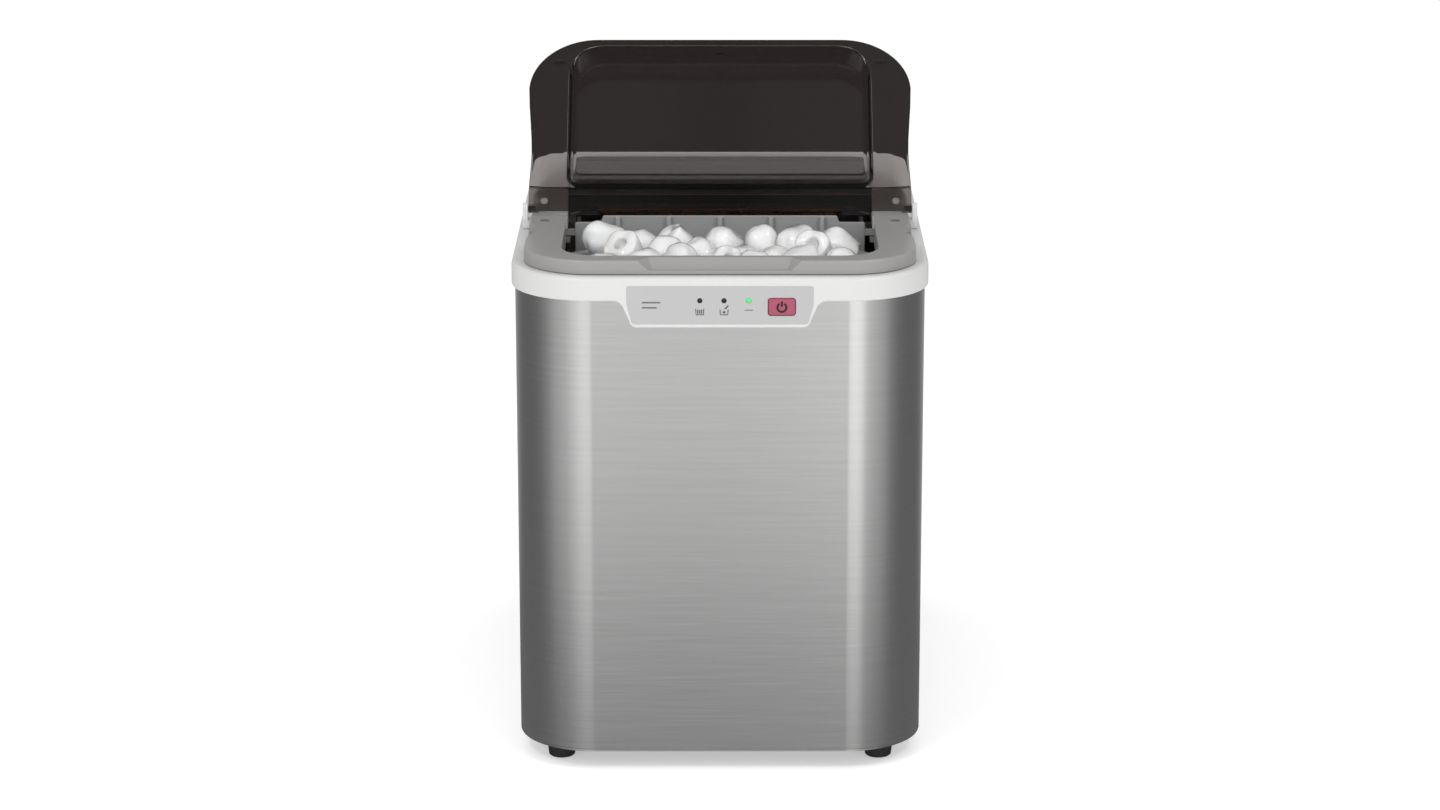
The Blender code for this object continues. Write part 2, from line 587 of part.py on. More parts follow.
def sector(radius, extra):
    """Side view of the tray about its pivot: an arc below, closed by the extra points above."""
    low = -90 - TRAY_SPAN_DEG
    return arc(0, 0, radius, radius, low, -90 + TRAY_SPAN_DEG, 12) + extra


def water_tray():
    """Trough under the fingers, an arc about its pivot so that it swings clear of them."""
    outline = sector(TRAY_R, [(7.0, 5.0), (-7.0, 5.0)])
    tray = prism("water_tray", outline, -TRAY_HALF_W, TRAY_HALF_W, WHITE, "X")
    inner = sector(TRAY_R - 2.0, [(46.0, 20.0), (-46.0, 20.0)])
    hollow = prism("cut_tray", inner, 2.0 - TRAY_HALF_W, TRAY_HALF_W - 2.0, WHITE, "X")
    bore = rod("cut_tray_bore", (0, 0, 0), "X", 3.06, -95.0, 95.0, WHITE)
    for obj in (tray, hollow, bore):
        obj.location = (0.0, TRAY_Y * MM, TRAY_Z * MM)
    cut(tray, hollow)
    cut(tray, bore)
    pivot = (0, TRAY_Y, TRAY_Z)
    post = box("tray_bearing_post", (-94.0, -89.0), (4.0, 16.0), (207.4, 294.0), WHITE)
    cut(post, rod("cut_post_bore", pivot, "X", 3.3, -96.0, -80.0, WHITE))
    rod("tray_pivot_pin", pivot, "X", 3.0, -93.6, -84.0, ZINC)
    motor = box("tray_motor", (90.4, 101.6), (-5.0, 25.0), (266.0, 297.4), BLACK)
    join(motor, box("add_motor_leg", (92.0, 100.0), (2.0, 18.0), (207.4, 267.0), BLACK))
    cut(motor, rod("cut_motor_bore", pivot, "X", 3.3, 80.0, 98.0, BLACK))
    rod("tray_motor_shaft", pivot, "X", 3.0, 84.0, 97.6, ZINC)


def ice_shovel():
    """Upright pusher plate with ribs on its front and an arm each side that runs on a rail."""
    y0 = SHOVEL_Y
    outline = [(-87.0, 264.0), (87.0, 264.0), (87.0, 302.0), (71.5, 302.0), (70.0, 306.0),
               (-70.0, 306.0), (-71.5, 302.0), (-87.0, 302.0)]
    plate = prism("ice_shovel", outline, y0, y0 + 2.0, LINER_GREY, "Y")
    ribs = [((x - 1.5, x + 1.5), (y0 - 3.5, y0 + 0.5), (264.5, 305.5))
            for x in (-61.2, -30.6, 0.0, 30.6, 61.2)]
    join(plate, boxes("add_shovel_ribs", ribs))
    arms = [(x, (y0 + 0.2, y0 + 1.8), (293.8, 297.9)) for x in ((-94.5, -86.5), (86.5, 94.5))]
    join(plate, boxes("add_shovel_arms", arms))


def water_circuit():
    pump = box("water_pump", (-97.0, -65.0), (-80.0, -40.0), (102.4, 134.0), BLACK)
    join(pump, rod("add_pump_outlet", (-90.0, -48.0, 0), "Z", 3.0, 133.0, 142.0, BLACK, 12))
    route = [(-90.0, -48.0, 142.4), (-92.0, -46.0, 165.0), (-96.0, -42.0, 195.0), (-98.2, -37.0, 220.0),
             (-98.2, -10.0, 245.0), (-98.2, -1.0, 270.0), (-98.2, -1.0, 290.0), (-96.0, -1.5, 303.0),
             (-88.0, -3.0, 308.6), (-79.0, -5.0, 308.0)]
    tube("water_hose", route, 2.4, WHITE)
    outlet = [(86.0, -110.0, 99.5), (86.0, -110.0, 70.0), (84.0, -80.0, 38.0), (80.0, -24.4, 30.0),
              (76.0, 60.0, 30.0), (73.0, 130.0, 33.0), (DRAIN_X, 154.0, OUTLET_Z), (DRAIN_X, 165.6, OUTLET_Z)]
    tube("drain_tube", outlet, 4.0, RUBBER)
    socket = [(4.4, 166.0), (6.9, 166.0), (6.9, 176.7), (9.6, 176.7), (9.6, 177.5), (4.4, 177.5)]
    ring_about_y("drain_socket", socket, DRAIN_X, BLACK)
    plug = [(0.6, 170.0), (4.0, 170.0), (4.0, 177.8), (9.0, 177.8), (9.0, 179.2), (8.2, 180.0), (0.6, 180.0)]
    turn("drain_cap", plug, (DRAIN_X, 0, OUTLET_Z), "Y", BLACK)
    gland = [(3.6, 172.4), (6.9, 172.4), (6.9, 176.7), (9.4, 176.7), (9.4, 178.4), (3.6, 178.4)]
    ring_about_y("cord_gland", gland, GLAND_X, RUBBER)


def ring_about_y(name, section, x, spec, sides=20):
    """Turn a closed (radius, y) section about an axis along Y."""
    loops = []
    for radius, y in section:
        loops.append([(x + radius * math.cos(math.tau * i / sides), y,
                       OUTLET_Z + radius * math.sin(math.tau * i / sides)) for i in range(sides)])
    loft(name, loops, spec, ring=True)


# ---------------------------------------------------------------- refrigeration

def refrigeration():
    centre = (-52.0, 112.0, 0)
    can = [(30.0, 24.0), (46.0, 30.0), (48.0, 46.0), (48.0, 118.0), (44.0, 134.0), (28.0, 145.0), (6.0, 148.0)]
    turn("compressor", can, centre, "Z", BLACK, 24)
    mount = box("compressor_mount", (-92.0, -12.0), (96.0, 128.0), (17.0, 20.0), ZINC)
    grommets = [(x, y, 0) for x in (-84.0, -20.0) for y in (102.0, 122.0)]
    join(mount, rods("add_grommets", grommets, "Z", 6.0, 13.6, 18.0, RUBBER))
    join(mount, rod("add_mount_boss", centre, "Z", 12.0, 19.0, 23.6, ZINC))
    condenser()
    fan()
    drier = [(3.0, 60.0), (8.0, 66.0), (8.0, 128.0), (3.0, 134.0)]
    turn("filter_drier", drier, (12.0, 158.0, 0), "Z", COPPER, 16)
    tube("discharge_line", [(-40.0, 80.0, 143.2), (-36.0, 75.0, 165.0), (10.0, 72.0, 182.0), (60.0, 74.0, 188.0),
                            (92.0, 80.0, 187.0), (99.0, 84.0, 176.4)], 2.6, COPPER)
    tube("liquid_line", [(100.0, 152.4, 68.0), (97.0, 163.0, 69.0), (82.0, 168.0, 72.0), (40.0, 168.0, 62.0),
                         (18.0, 163.0, 48.0), (12.6, 158.6, 52.0), (12.0, 158.0, 59.2)], 2.0, COPPER)
    tube("capillary_tube", [(12.0, 158.0, 134.4), (12.0, 156.0, 160.0), (30.0, 120.0, 230.0), (45.0, 76.0, 285.0),
                            (45.0, 62.0, 300.6), (45.0, 40.0, 301.0), (45.0, 17.5, 301.0)], 1.2, COPPER)
    tube("suction_line", [(-66.0, 84.0, 145.4), (-70.0, 74.0, 180.0), (-72.0, 71.0, 250.0), (-72.0, 70.0, 285.0),
                          (-72.0, 62.0, 300.2), (-72.0, 40.0, 301.0), (-72.0, 17.5, 301.0)], 2.8, COPPER)


def condenser():
    """Finned block seen from above as a comb: fins off a spine, one solid."""
    spine_x = 113.0
    fin_x = 89.0
    outline = [(spine_x, 56.0), (spine_x, 152.0)]
    count = 12
    pitch = 96.0 / count
    for i in range(count):
        y = 152.0 - pitch * i
        outline += [(fin_x, y), (fin_x, y - 2.0)]
        if i < count - 1:
            outline += [(spine_x - 3.0, y - 2.0), (spine_x - 3.0, y - pitch)]
    outline = outline[:-2] + [(fin_x, 58.0), (fin_x, 56.0)]
    prism("condenser", outline, 50.0, 176.0, ALUMINIUM)


def fan():
    centre = (0, FAN_Y, FAN_Z)
    shroud = box("fan_shroud", (82.0, 86.0), (50.0, 160.0), (46.0, 176.0), BLACK)
    cut(shroud, rod("cut_shroud", centre, "X", FAN_R + 2.0, 75.0, 90.0, BLACK, 32))
    hub = turn("fan_blades", [(8.0, 0.0), (10.0, 1.5), (10.0, 14.0), (7.0, 16.0)], (64.0, 0, 0), "X", BLACK, 20)
    bm = bmesh.new()
    blade_count = 5
    for i in range(blade_count):
        turn_angle = math.tau * i / blade_count
        corners = []
        for radius, half, sweep in ((8.5, 4.5, 4.0), (FAN_R, 13.0, 7.0)):
            for across, along in ((-half, -sweep), (half, sweep)):
                for thick in (-0.8, 0.8):
                    y = radius * math.cos(turn_angle) - across * math.sin(turn_angle)
                    z = radius * math.sin(turn_angle) + across * math.cos(turn_angle)
                    corners.append(bm.verts.new((72.0 + along + thick, y, z)))
        for face in ((0, 1, 3, 2), (4, 6, 7, 5), (0, 2, 6, 4), (1, 5, 7, 3), (0, 4, 5, 1), (2, 3, 7, 6)):
            bm.faces.new([corners[k] for k in face])
    blades = finish_mesh("add_blades", bm, BLACK)
    bore = rod("cut_hub_bore", (0, 0, 0), "X", 2.06, 60.0, 74.0, BLACK)
    for obj in (hub, blades, bore):
        obj.location = (0.0, FAN_Y * MM, FAN_Z * MM)
    join(hub, blades)
    cut(hub, bore)
    motor = turn("fan_motor", [(12.0, 24.0), (18.0, 28.0), (18.0, 52.0), (9.0, 58.0)], centre, "X", ZINC, 20)
    join(motor, rod("add_fan_shaft", centre, "X", 2.0, 56.0, 72.0, ZINC, 16))
    join(motor, box("add_motor_foot", (30.0, 34.0), (97.0, 113.0), (13.6, 100.0), ZINC))


def bulkhead():
    """Upright sheet between the water compartment and the machine space."""
    sheet = box("bulkhead", (-112.0, 112.0), (-25.0, -23.8), (13.6, 203.0), ZINC)
    cut(sheet, rod("cut_tube_hole", (80.0, 0, 30.0), "Y", 4.8, -28.0, -20.0, ZINC, 16))


def main():
    clear_scene()
    cabinet_wrap()
    base_pan()
    rear_panel()
    feet()
    top_rim()
    control_panel()
    bezel()
    rear_cover()
    rear_window()
    lid()
    inner_liner()
    ice_basket()
    evaporator()
    water_tray()
    ice_shovel()
    water_circuit()
    refrigeration()
    bulkhead()


main()
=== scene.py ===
"""Looks of the countertop ice maker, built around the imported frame.

Outlines are in millimetres in the row frame: X is the width, -Y the front, Z up, floor at 0.
"""
import json
import math
import random

import bmesh
import bpy
from mathutils import Matrix, Vector, noise


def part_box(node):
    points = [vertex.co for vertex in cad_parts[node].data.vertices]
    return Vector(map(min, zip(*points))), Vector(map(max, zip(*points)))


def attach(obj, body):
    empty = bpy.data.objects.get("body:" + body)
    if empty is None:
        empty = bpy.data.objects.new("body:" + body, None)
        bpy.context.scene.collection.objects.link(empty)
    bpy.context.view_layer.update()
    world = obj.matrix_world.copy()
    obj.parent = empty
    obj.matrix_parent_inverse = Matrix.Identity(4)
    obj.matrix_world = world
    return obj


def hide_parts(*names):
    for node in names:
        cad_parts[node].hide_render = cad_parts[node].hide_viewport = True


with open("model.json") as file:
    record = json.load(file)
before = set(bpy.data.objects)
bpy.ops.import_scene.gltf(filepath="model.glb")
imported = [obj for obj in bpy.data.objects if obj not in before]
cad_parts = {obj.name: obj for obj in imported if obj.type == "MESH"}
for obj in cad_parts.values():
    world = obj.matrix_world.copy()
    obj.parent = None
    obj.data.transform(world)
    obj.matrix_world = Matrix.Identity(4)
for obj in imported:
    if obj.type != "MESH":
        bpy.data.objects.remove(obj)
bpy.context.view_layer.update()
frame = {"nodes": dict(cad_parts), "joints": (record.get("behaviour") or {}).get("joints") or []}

MM = 0.001
X, Y, Z = range(3)
SIDES = ((-1, "left"), (1, "right"))


def reach(node, axis):
    """Lowest and highest coordinate of a CAD node along an axis, in millimetres."""
    low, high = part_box(node)
    return round(low[axis] / MM, 2), round(high[axis] / MM, 2)


def centre_of(node, axis):
    return sum(reach(node, axis)) / 2


# Places and sizes taken from the frame
FRONT_Y, REAR_Y = reach("top_rim", Y)
TAB_BOTTOM, RIM_TOP = reach("top_rim", Z)
RIM_HALF_W = reach("top_rim", X)[1]
WRAP_HALF_W = reach("cabinet_wrap", X)[1]
WRAP_FRONT, WRAP_REAR = reach("cabinet_wrap", Y)
WRAP_BOTTOM, WRAP_TOP = reach("cabinet_wrap", Z)
BEZEL_HALF_W = reach("bezel", X)[1]
BEZEL_FRONT, BEZEL_REAR = reach("bezel", Y)
BEZEL_SKIRT, BEZEL_TOP = reach("bezel", Z)
COVER_FRONT, COVER_REAR = reach("rear_cover", Y)
COVER_BOTTOM, COVER_TOP = reach("rear_cover", Z)
WINDOW_HALF_W = reach("rear_window", X)[1]
WINDOW_FRONT, WINDOW_REAR = reach("rear_window", Y)
WINDOW_LOW, WINDOW_TOP = reach("rear_window", Z)
LINTEL_LOW, LINTEL_TOP = reach("window_lintel", Z)
SHOVEL_HALF_W = reach("ice_shovel", X)[1]
SHOVEL_REAR = reach("ice_shovel", Y)[1]
SHOVEL_LOW, SHOVEL_TOP = reach("ice_shovel", Z)
BUTTON_X = centre_of("power_button", X)
BUTTON_Z = centre_of("power_button", Z)
LENSES = ("lens_ice_full", "lens_add_water", "lens_running")
LENS_X = [centre_of(lens, X) for lens in LENSES]
LENS_Z = centre_of(LENSES[0], Z)
LID_HINGE = next(joint for joint in frame["joints"] if joint["name"] == "lid_hinge")
HINGE_Y, HINGE_Z = [round(place / MM, 2) for place in LID_HINGE["pos_m"][1:]]
LID_OPEN_DEG = LID_HINGE["range_deg"][1]

# Moulded detail that the frame's boxes don't give
RIM_FRONT_R = 48.0
RIM_REAR_R = 20.0
RIM_BOTTOM = 284.0
WRAP_FRONT_R = RIM_FRONT_R - (RIM_HALF_W - WRAP_HALF_W)
WRAP_REAR_R = 18.0
OPENING_HALF_W = 92.6
OPENING_FRONT = -161.0
GRIP_FLOOR = 300.6
COVER_DECK = 300.8
COVER_LEDGE = 304.5
REBATE_Z = 318.2
PIN_BORE_R = 1.56


# ---------------------------------------------------------------- outlines and meshes

def arc(cx, cy, radius, start_deg, end_deg, steps, ry=None):
    points = []
    for i in range(steps + 1):
        angle = math.radians(start_deg + (end_deg - start_deg) * i / steps)
        points.append((cx + radius * math.cos(angle), cy + (ry or radius) * math.sin(angle)))
    return points


def rounded(half_w, y0, y1, front_r, rear_r, inset=0.0, steps=20):
    """Rounded rectangle, anticlockwise from above, starting at the front of the right front corner."""
    half, low, high = half_w - inset, y0 + inset, y1 - inset
    front, rear = max(front_r - inset, 0.3), max(rear_r - inset, 0.3)
    points = arc(half - front, low + front, front, -90, 0, steps)
    points += arc(half - rear, high - rear, rear, 0, 90, steps)
    points += arc(rear - half, high - rear, rear, 90, 180, steps)
    points += arc(front - half, low + front, front, 180, 270, steps)
    return points


def tapered(front_half, front, rear_half, rear):
    """Four-sided outline, as wide as front_half at its front and rear_half at its rear on each side."""
    return [(-front_half, front), (front_half, front), (rear_half, rear), (-rear_half, rear)]


def span(side, near, far):
    """Interval on one side of the middle, lowest end first."""
    return sorted((side * near, side * far))


def fillet(points, radii, steps=5):
    """Open polyline with its inner corners rounded; radii has one entry for each inner corner."""
    path = [points[0]]
    for before, corner, after, radius in zip(points, points[1:], points[2:], radii):
        b, c, a = Vector(before), Vector(corner), Vector(after)
        to_b, to_a = (b - c).normalized(), (a - c).normalized()
        trim = radius / math.tan(to_b.angle(to_a) / 2)
        start, end = c + to_b * trim, c + to_a * trim
        for i in range(steps + 1):
            t = i / steps
            path.append(tuple(start.lerp(c, t).lerp(c.lerp(end, t), t)))
    path.append(points[-1])
    return path


def shade(mesh, smooth_deg=38.0):
    mesh.shade_smooth()
    mesh.set_sharp_from_angle(angle=math.radians(smooth_deg))


def new_object(name, bm, mat, smooth_deg=38.0):
    """Object in metres from a mesh drawn in millimetres."""
    bmesh.ops.connect_verts_nonplanar(bm, angle_limit=0.0005, faces=bm.faces)
    bmesh.ops.recalc_face_normals(bm, faces=bm.faces)
    bmesh.ops.scale(bm, vec=(MM, MM, MM), verts=bm.verts)
    mesh = bpy.data.meshes.new(name)
    bm.to_mesh(mesh)
    bm.free()
    shade(mesh, smooth_deg)
    obj = bpy.data.objects.new(name, mesh)
    bpy.context.scene.collection.objects.link(obj)
    if mat:
        mesh.materials.append(mat)
    return obj


def join_rows(bm, low, high):
    """Quads between two closed rows of vertices."""
    for i in range(len(low)):
        j = (i + 1) % len(low)
        bm.faces.new((low[i], low[j], high[j], high[i]))


def cap_ends(bm, rows):
    bm.faces.new(rows[0][::-1])
    bm.faces.new(rows[-1])


def loft(name, loops, mat=None, ring=False, smooth_deg=38.0, matrix=None):
    """Faces between loops of equal length; a ring closes on itself, else both ends are capped."""
    bm = bmesh.new()
    rows = [[bm.verts.new(point) for point in loop] for loop in loops]
    for low, high in zip(rows, rows[1:]):
        join_rows(bm, low, high)
    if ring:
        join_rows(bm, rows[-1], rows[0])
    else:
        cap_ends(bm, rows)
    if matrix:
        bmesh.ops.transform(bm, matrix=matrix, verts=bm.verts)
    return new_object(name, bm, mat, smooth_deg)


def plate(name, outlines, mat=None, axis="Z", **options):
    """Loft through (outline, place along the axis) pairs; an outline has the other axes in X, Y, Z order."""
    def point(a, b, c):
        return {"X": (c, a, b), "Y": (a, c, b), "Z": (a, b, c)}[axis]
    return loft(name, [[point(a, b, c) for a, b in outline] for outline, c in outlines], mat, **options)


def prism(name, outline, low, high, mat=None, axis="Z"):
    return plate(name, [(outline, low), (outline, high)], mat, axis)


def turn(name, profile, centre, axis, mat=None, sides=40, **options):
    """Turn (radius, height) points about an axis through centre."""
    loops = []
    for radius, height in profile:
        loop = []
        for i in range(sides):
            a = radius * math.cos(math.tau * i / sides)
            b = radius * math.sin(math.tau * i / sides)
            local = {"X": (height, a, b), "Y": (b, height, a), "Z": (a, b, height)}[axis]
            loop.append(tuple(c + d for c, d in zip(centre, local)))
        loops.append(loop)
    return loft(name, loops, mat, **options)


def boxes(name, extents, mat=None):
    """Blocks in one object, each from its (low, high) pairs along X, Y and Z."""
    bm = bmesh.new()
    for x, y, z in extents:
        cube = bmesh.ops.create_cube(bm, size=1.0)["verts"]
        bmesh.ops.scale(bm, vec=(x[1] - x[0], y[1] - y[0], z[1] - z[0]), verts=cube)
        bmesh.ops.translate(bm, vec=[(a + b) / 2 for a, b in (x, y, z)], verts=cube)
    return new_object(name, bm, mat)


def settle(obj):
    """Keep the modified mesh and drop the modifiers."""
    graph = bpy.context.evaluated_depsgraph_get()
    mesh = bpy.data.meshes.new_from_object(obj.evaluated_get(graph))
    obj.modifiers.clear()
    obj.data = mesh


def carve(obj, tool, operation="DIFFERENCE"):
    """Boolean with a tool that is used up."""
    modifier = obj.modifiers.new("carve", "BOOLEAN")
    modifier.operation = operation
    modifier.object = tool
    settle(obj)
    bpy.data.objects.remove(tool, do_unlink=True)
    shade(obj.data)


def soften(obj, width, segments=3, angle=40.0):
    """Round the edges that are sharper than angle by width millimetres."""
    modifier = obj.modifiers.new("soften", "BEVEL")
    modifier.width = width * MM
    modifier.segments = segments
    modifier.limit_method = "ANGLE"
    modifier.angle_limit = math.radians(angle)
    modifier.harden_normals = True
    settle(obj)


def place(obj, body, slot=None, nodes=()):
    """Say what the piece rides on and the CAD nodes that it stands for; slot is not used."""
    weights = obj.modifiers.new("weights", "WEIGHTED_NORMAL")
    weights.keep_sharp = True
    weights.weight = 100
    if nodes:
        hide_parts(*nodes)
    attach(obj, body)


# ---------------------------------------------------------------- materials

def shader(name, colour, roughness, **sockets):
    """Principled material; a socket's name is given with _ for each space."""
    made = bpy.data.materials.new(name)
    made.use_nodes = True
    tree = made.node_tree
    principled = tree.nodes["Principled BSDF"]
    principled.inputs["Base Color"].default_value = (*colour, 1.0)
    principled.inputs["Roughness"].default_value = roughness
    for socket, value in sockets.items():
        principled.inputs[socket.replace("_", " ")].default_value = value
    made.diffuse_color = (*colour, 1.0)
    return made, tree, principled


def add_maths(tree, operation, *values):
    """Math node on numbers and outputs of other nodes."""
    node = tree.nodes.new("ShaderNodeMath")
    node.operation = operation
    for socket, value in zip(node.inputs, values):
        if isinstance(value, (int, float)):
            socket.default_value = value
        else:
            tree.links.new(value, socket)
    return node.outputs[0]


def add_noise(tree, scale, detail=3.0, stretch=(1.0, 1.0, 1.0)):
    """Noise in object space, in cycles per metre, drawn out along the axes by stretch."""
    coords = tree.nodes.new("ShaderNodeTexCoord")
    mapping = tree.nodes.new("ShaderNodeMapping")
    mapping.inputs["Scale"].default_value = stretch
    texture = tree.nodes.new("ShaderNodeTexNoise")
    texture.inputs["Scale"].default_value = scale
    texture.inputs["Detail"].default_value = detail
    tree.links.new(coords.outputs["Object"], mapping.inputs["Vector"])
    tree.links.new(mapping.outputs["Vector"], texture.inputs["Vector"])
    return texture.outputs["Fac"]


def add_range(tree, value, low, high, socket):
    """Drive a socket by a 0..1 value that is spread from low to high."""
    spread = tree.nodes.new("ShaderNodeMapRange")
    spread.inputs["To Min"].default_value = low
    spread.inputs["To Max"].default_value = high
    tree.links.new(value, spread.inputs["Value"])
    tree.links.new(spread.outputs["Result"], socket)


def add_bump(tree, principled, height, distance, strength):
    bump = tree.nodes.new("ShaderNodeBump")
    bump.inputs["Distance"].default_value = distance
    bump.inputs["Strength"].default_value = strength
    tree.links.new(height, bump.inputs["Height"])
    tree.links.new(bump.outputs["Normal"], principled.inputs["Normal"])


def add_tint(tree, principled, value, dark, light):
    """Base colour between two colours by a 0..1 value."""
    mix = tree.nodes.new("ShaderNodeMix")
    mix.data_type = "RGBA"
    mix.inputs["A"].default_value = (*dark, 1.0)
    mix.inputs["B"].default_value = (*light, 1.0)
    tree.links.new(value, mix.inputs["Factor"])
    tree.links.new(mix.outputs["Result"], principled.inputs["Base Color"])


def plastic(name, colour, roughness, grain=0.25, texture_scale=2600.0):
    """Moulded plastic: a fine spark texture, with slightly uneven gloss."""
    made, tree, principled = shader(name, colour, roughness)
    add_bump(tree, principled, add_noise(tree, texture_scale, 2.0), 0.00004, grain)
    add_range(tree, add_noise(tree, 45.0), roughness * 0.85, roughness * 1.2, principled.inputs["Roughness"])
    tone = add_noise(tree, 18.0, 2.0)
    add_tint(tree, principled, tone, [c * 0.965 for c in colour], [min(c * 1.025, 1.0) for c in colour])
    return made


def brushed_steel():
    """Stainless sheet with fine horizontal brush lines that follow the bend round the corners."""
    made, tree, principled = shader("brushed_steel", (0.73, 0.73, 0.73), 0.17, Metallic=1.0)
    fine = add_noise(tree, 1.0, 4.0, (22.0, 22.0, 3200.0))
    broad = add_noise(tree, 1.0, 2.0, (9.0, 9.0, 650.0))
    mean = add_maths(tree, "MULTIPLY", add_maths(tree, "ADD", fine, broad), 0.5)
    add_tint(tree, principled, mean, (0.665, 0.665, 0.665), (0.795, 0.795, 0.794))
    add_range(tree, fine, 0.13, 0.22, principled.inputs["Roughness"])
    add_bump(tree, principled, fine, 0.000012, 0.3)
    return made


def smoke(name, tint, roughness=0.03):
    """Smoked see-through plastic; tint is the share of light that a wall lets through."""
    made, tree, principled = shader(name, tint, roughness, Transmission_Weight=1.0, IOR=1.25)
    faint = add_noise(tree, 30.0, 2.0)
    add_range(tree, faint, roughness * 0.7, roughness * 1.5, principled.inputs["Roughness"])
    return made


def ice_material():
    """Wet ice: clearer towards the outline of each piece, cloudy white at its core."""
    made, tree, principled = shader("cloudy_ice", (0.93, 0.94, 0.95), 0.06, IOR=1.31, Subsurface_Weight=0.8,
                                    Subsurface_Radius=(0.006, 0.0065, 0.007), Subsurface_Scale=1.0,
                                    Coat_Weight=1.0, Coat_Roughness=0.02)
    facing = tree.nodes.new("ShaderNodeLayerWeight")
    facing.inputs["Blend"].default_value = 0.35
    cloud = add_noise(tree, 85.0)
    clear = add_maths(tree, "MULTIPLY", facing.outputs["Facing"], cloud)
    add_range(tree, clear, 0.06, 1.3, principled.inputs["Transmission Weight"])
    add_tint(tree, principled, cloud, (0.86, 0.865, 0.87), (1.0, 1.0, 1.0))
    add_bump(tree, principled, add_noise(tree, 150.0, 2.0), 0.0014, 0.5)
    return made


def metal(name, colour, roughness):
    """Plain metal with cloudy gloss and faint scratches."""
    made, tree, principled = shader(name, colour, roughness, Metallic=1.0)
    cloud = add_noise(tree, 120.0, 4.0)
    add_range(tree, cloud, roughness * 0.8, roughness * 1.3, principled.inputs["Roughness"])
    add_tint(tree, principled, cloud, [c * 0.88 for c in colour], [min(c * 1.06, 1.0) for c in colour])
    add_bump(tree, principled, add_noise(tree, 900.0, 2.0), 0.00004, 0.2)
    return made


def glow(name, colour, strength):
    """Lit lens under a clear skin."""
    made, tree, principled = shader(name, colour, 0.2, Emission_Color=(*colour, 1.0),
                                    Emission_Strength=strength, Coat_Weight=0.5)
    add_range(tree, add_noise(tree, 900.0, 2.0), 0.15, 0.3, principled.inputs["Roughness"])
    return made


def floor_material():
    return shader("pale_floor", (0.9, 0.9, 0.9), 0.6, Specular_IOR_Level=0.0,
                  Emission_Color=(1.0, 1.0, 1.0, 1.0), Emission_Strength=0.4)[0]


WHITE = plastic("white_plastic", (0.64, 0.636, 0.632), 0.33)
BEZEL_GREY = plastic("bezel_grey", (0.31, 0.305, 0.30), 0.3)
LINER_GREY = plastic("liner_grey", (0.23, 0.228, 0.226), 0.4)
BASKET_GREY = plastic("basket_grey", (0.30, 0.30, 0.30), 0.35)
# Lighter copy of the shovel's grey for its ribs: painted highlight.
RIB_GREY_PAINTED_HIGHLIGHT = plastic("rib_grey_painted_highlight", (0.36, 0.36, 0.36), 0.22, 0.05)
OVERLAY = plastic("overlay_film", (0.45, 0.45, 0.45), 0.42, 0.1)
BLACK = plastic("black_plastic", (0.018, 0.017, 0.017), 0.35)
PRINT = plastic("dark_print", (0.018, 0.014, 0.014), 0.6, 0.03)
PALE_PRINT = plastic("pale_print", (0.15, 0.14, 0.14), 0.5, 0.05)
PINK = plastic("pink_button", (0.37, 0.07, 0.125), 0.38, 0.15)
RUBBER = plastic("black_rubber", (0.016, 0.016, 0.016), 0.7, 0.5, 1500.0)
PAD = plastic("clear_pad", (0.16, 0.155, 0.155), 0.25, 0.05)
STEEL = brushed_steel()
SMOKE = smoke("smoked_lid", (0.53, 0.50, 0.49))
# Darker copy of the lid's smoke for the strip along the hinge: painted shade of the shaded cover behind it.
SMOKE_PAINTED_SHADE = smoke("smoked_band_painted_shade", (0.34, 0.31, 0.30))
SMOKE_WINDOW = smoke("smoked_window", (0.62, 0.59, 0.58))
ICE = ice_material()
ZINC = metal("zinc_sheet", (0.56, 0.57, 0.58), 0.42)
COPPER = metal("copper_tube", (0.72, 0.36, 0.2), 0.28)
FINS = metal("aluminium_fins", (0.72, 0.73, 0.74), 0.35)
BOARD = plastic("circuit_board", (0.02, 0.13, 0.05), 0.4)
ENAMEL = plastic("black_enamel", (0.02, 0.02, 0.022), 0.22)
GREEN = glow("green_lens", (0.045, 0.56, 0.13), 0.55)


# ---------------------------------------------------------------- casing

def wrap_path(inset):
    """The sheet's plan, open at the rear, from the left flange round the front to the right flange."""
    flange_x = 88.0
    flange_y = WRAP_REAR - inset
    ring = rounded(WRAP_HALF_W, WRAP_FRONT, WRAP_REAR, WRAP_FRONT_R, WRAP_REAR_R, inset, 24)
    split = len(ring) // 2
    return [(-flange_x, flange_y)] + ring[split:] + ring[:split] + [(flange_x, flange_y)]


def louvre_outlines():
    """Slots in two columns, as (y, z) outlines."""
    slot = rounded(16.0, -1.6, 1.6, 1.55, 1.55, 0.0, 4)
    for row in range(12):
        for column_y in (76.0, 120.0):
            yield [(column_y + y, 61.6 + 9.0 * row + z) for y, z in slot]


def steel_wrap():
    """The bent steel sheet, with rounded lips at its edges and pierced louvres on both sides."""
    thick = 1.0
    section = [(0.0, WRAP_BOTTOM + 0.5), (0.0, WRAP_BOTTOM + 2.0), (0.0, WRAP_TOP - 1.0), (0.0, WRAP_TOP),
               (thick, WRAP_TOP), (thick, WRAP_BOTTOM + 0.3), (thick * 0.75, WRAP_BOTTOM), (0.3, WRAP_BOTTOM)]
    rails = [[(x, y, z) for x, y in wrap_path(inset)] for inset, z in section]
    wrap = loft("steel_wrap", list(zip(*rails)), STEEL)
    carve(wrap, boxes("panel_notch", [((-47.0, 47.0), (-180.0, -170.0), (271.0, 300.0))]))
    for outline in louvre_outlines():
        carve(wrap, prism("louvre", outline, -125.0, 125.0, axis="X"))
    place(wrap, "cabinet", "brushed_steel", ["cabinet_wrap"])


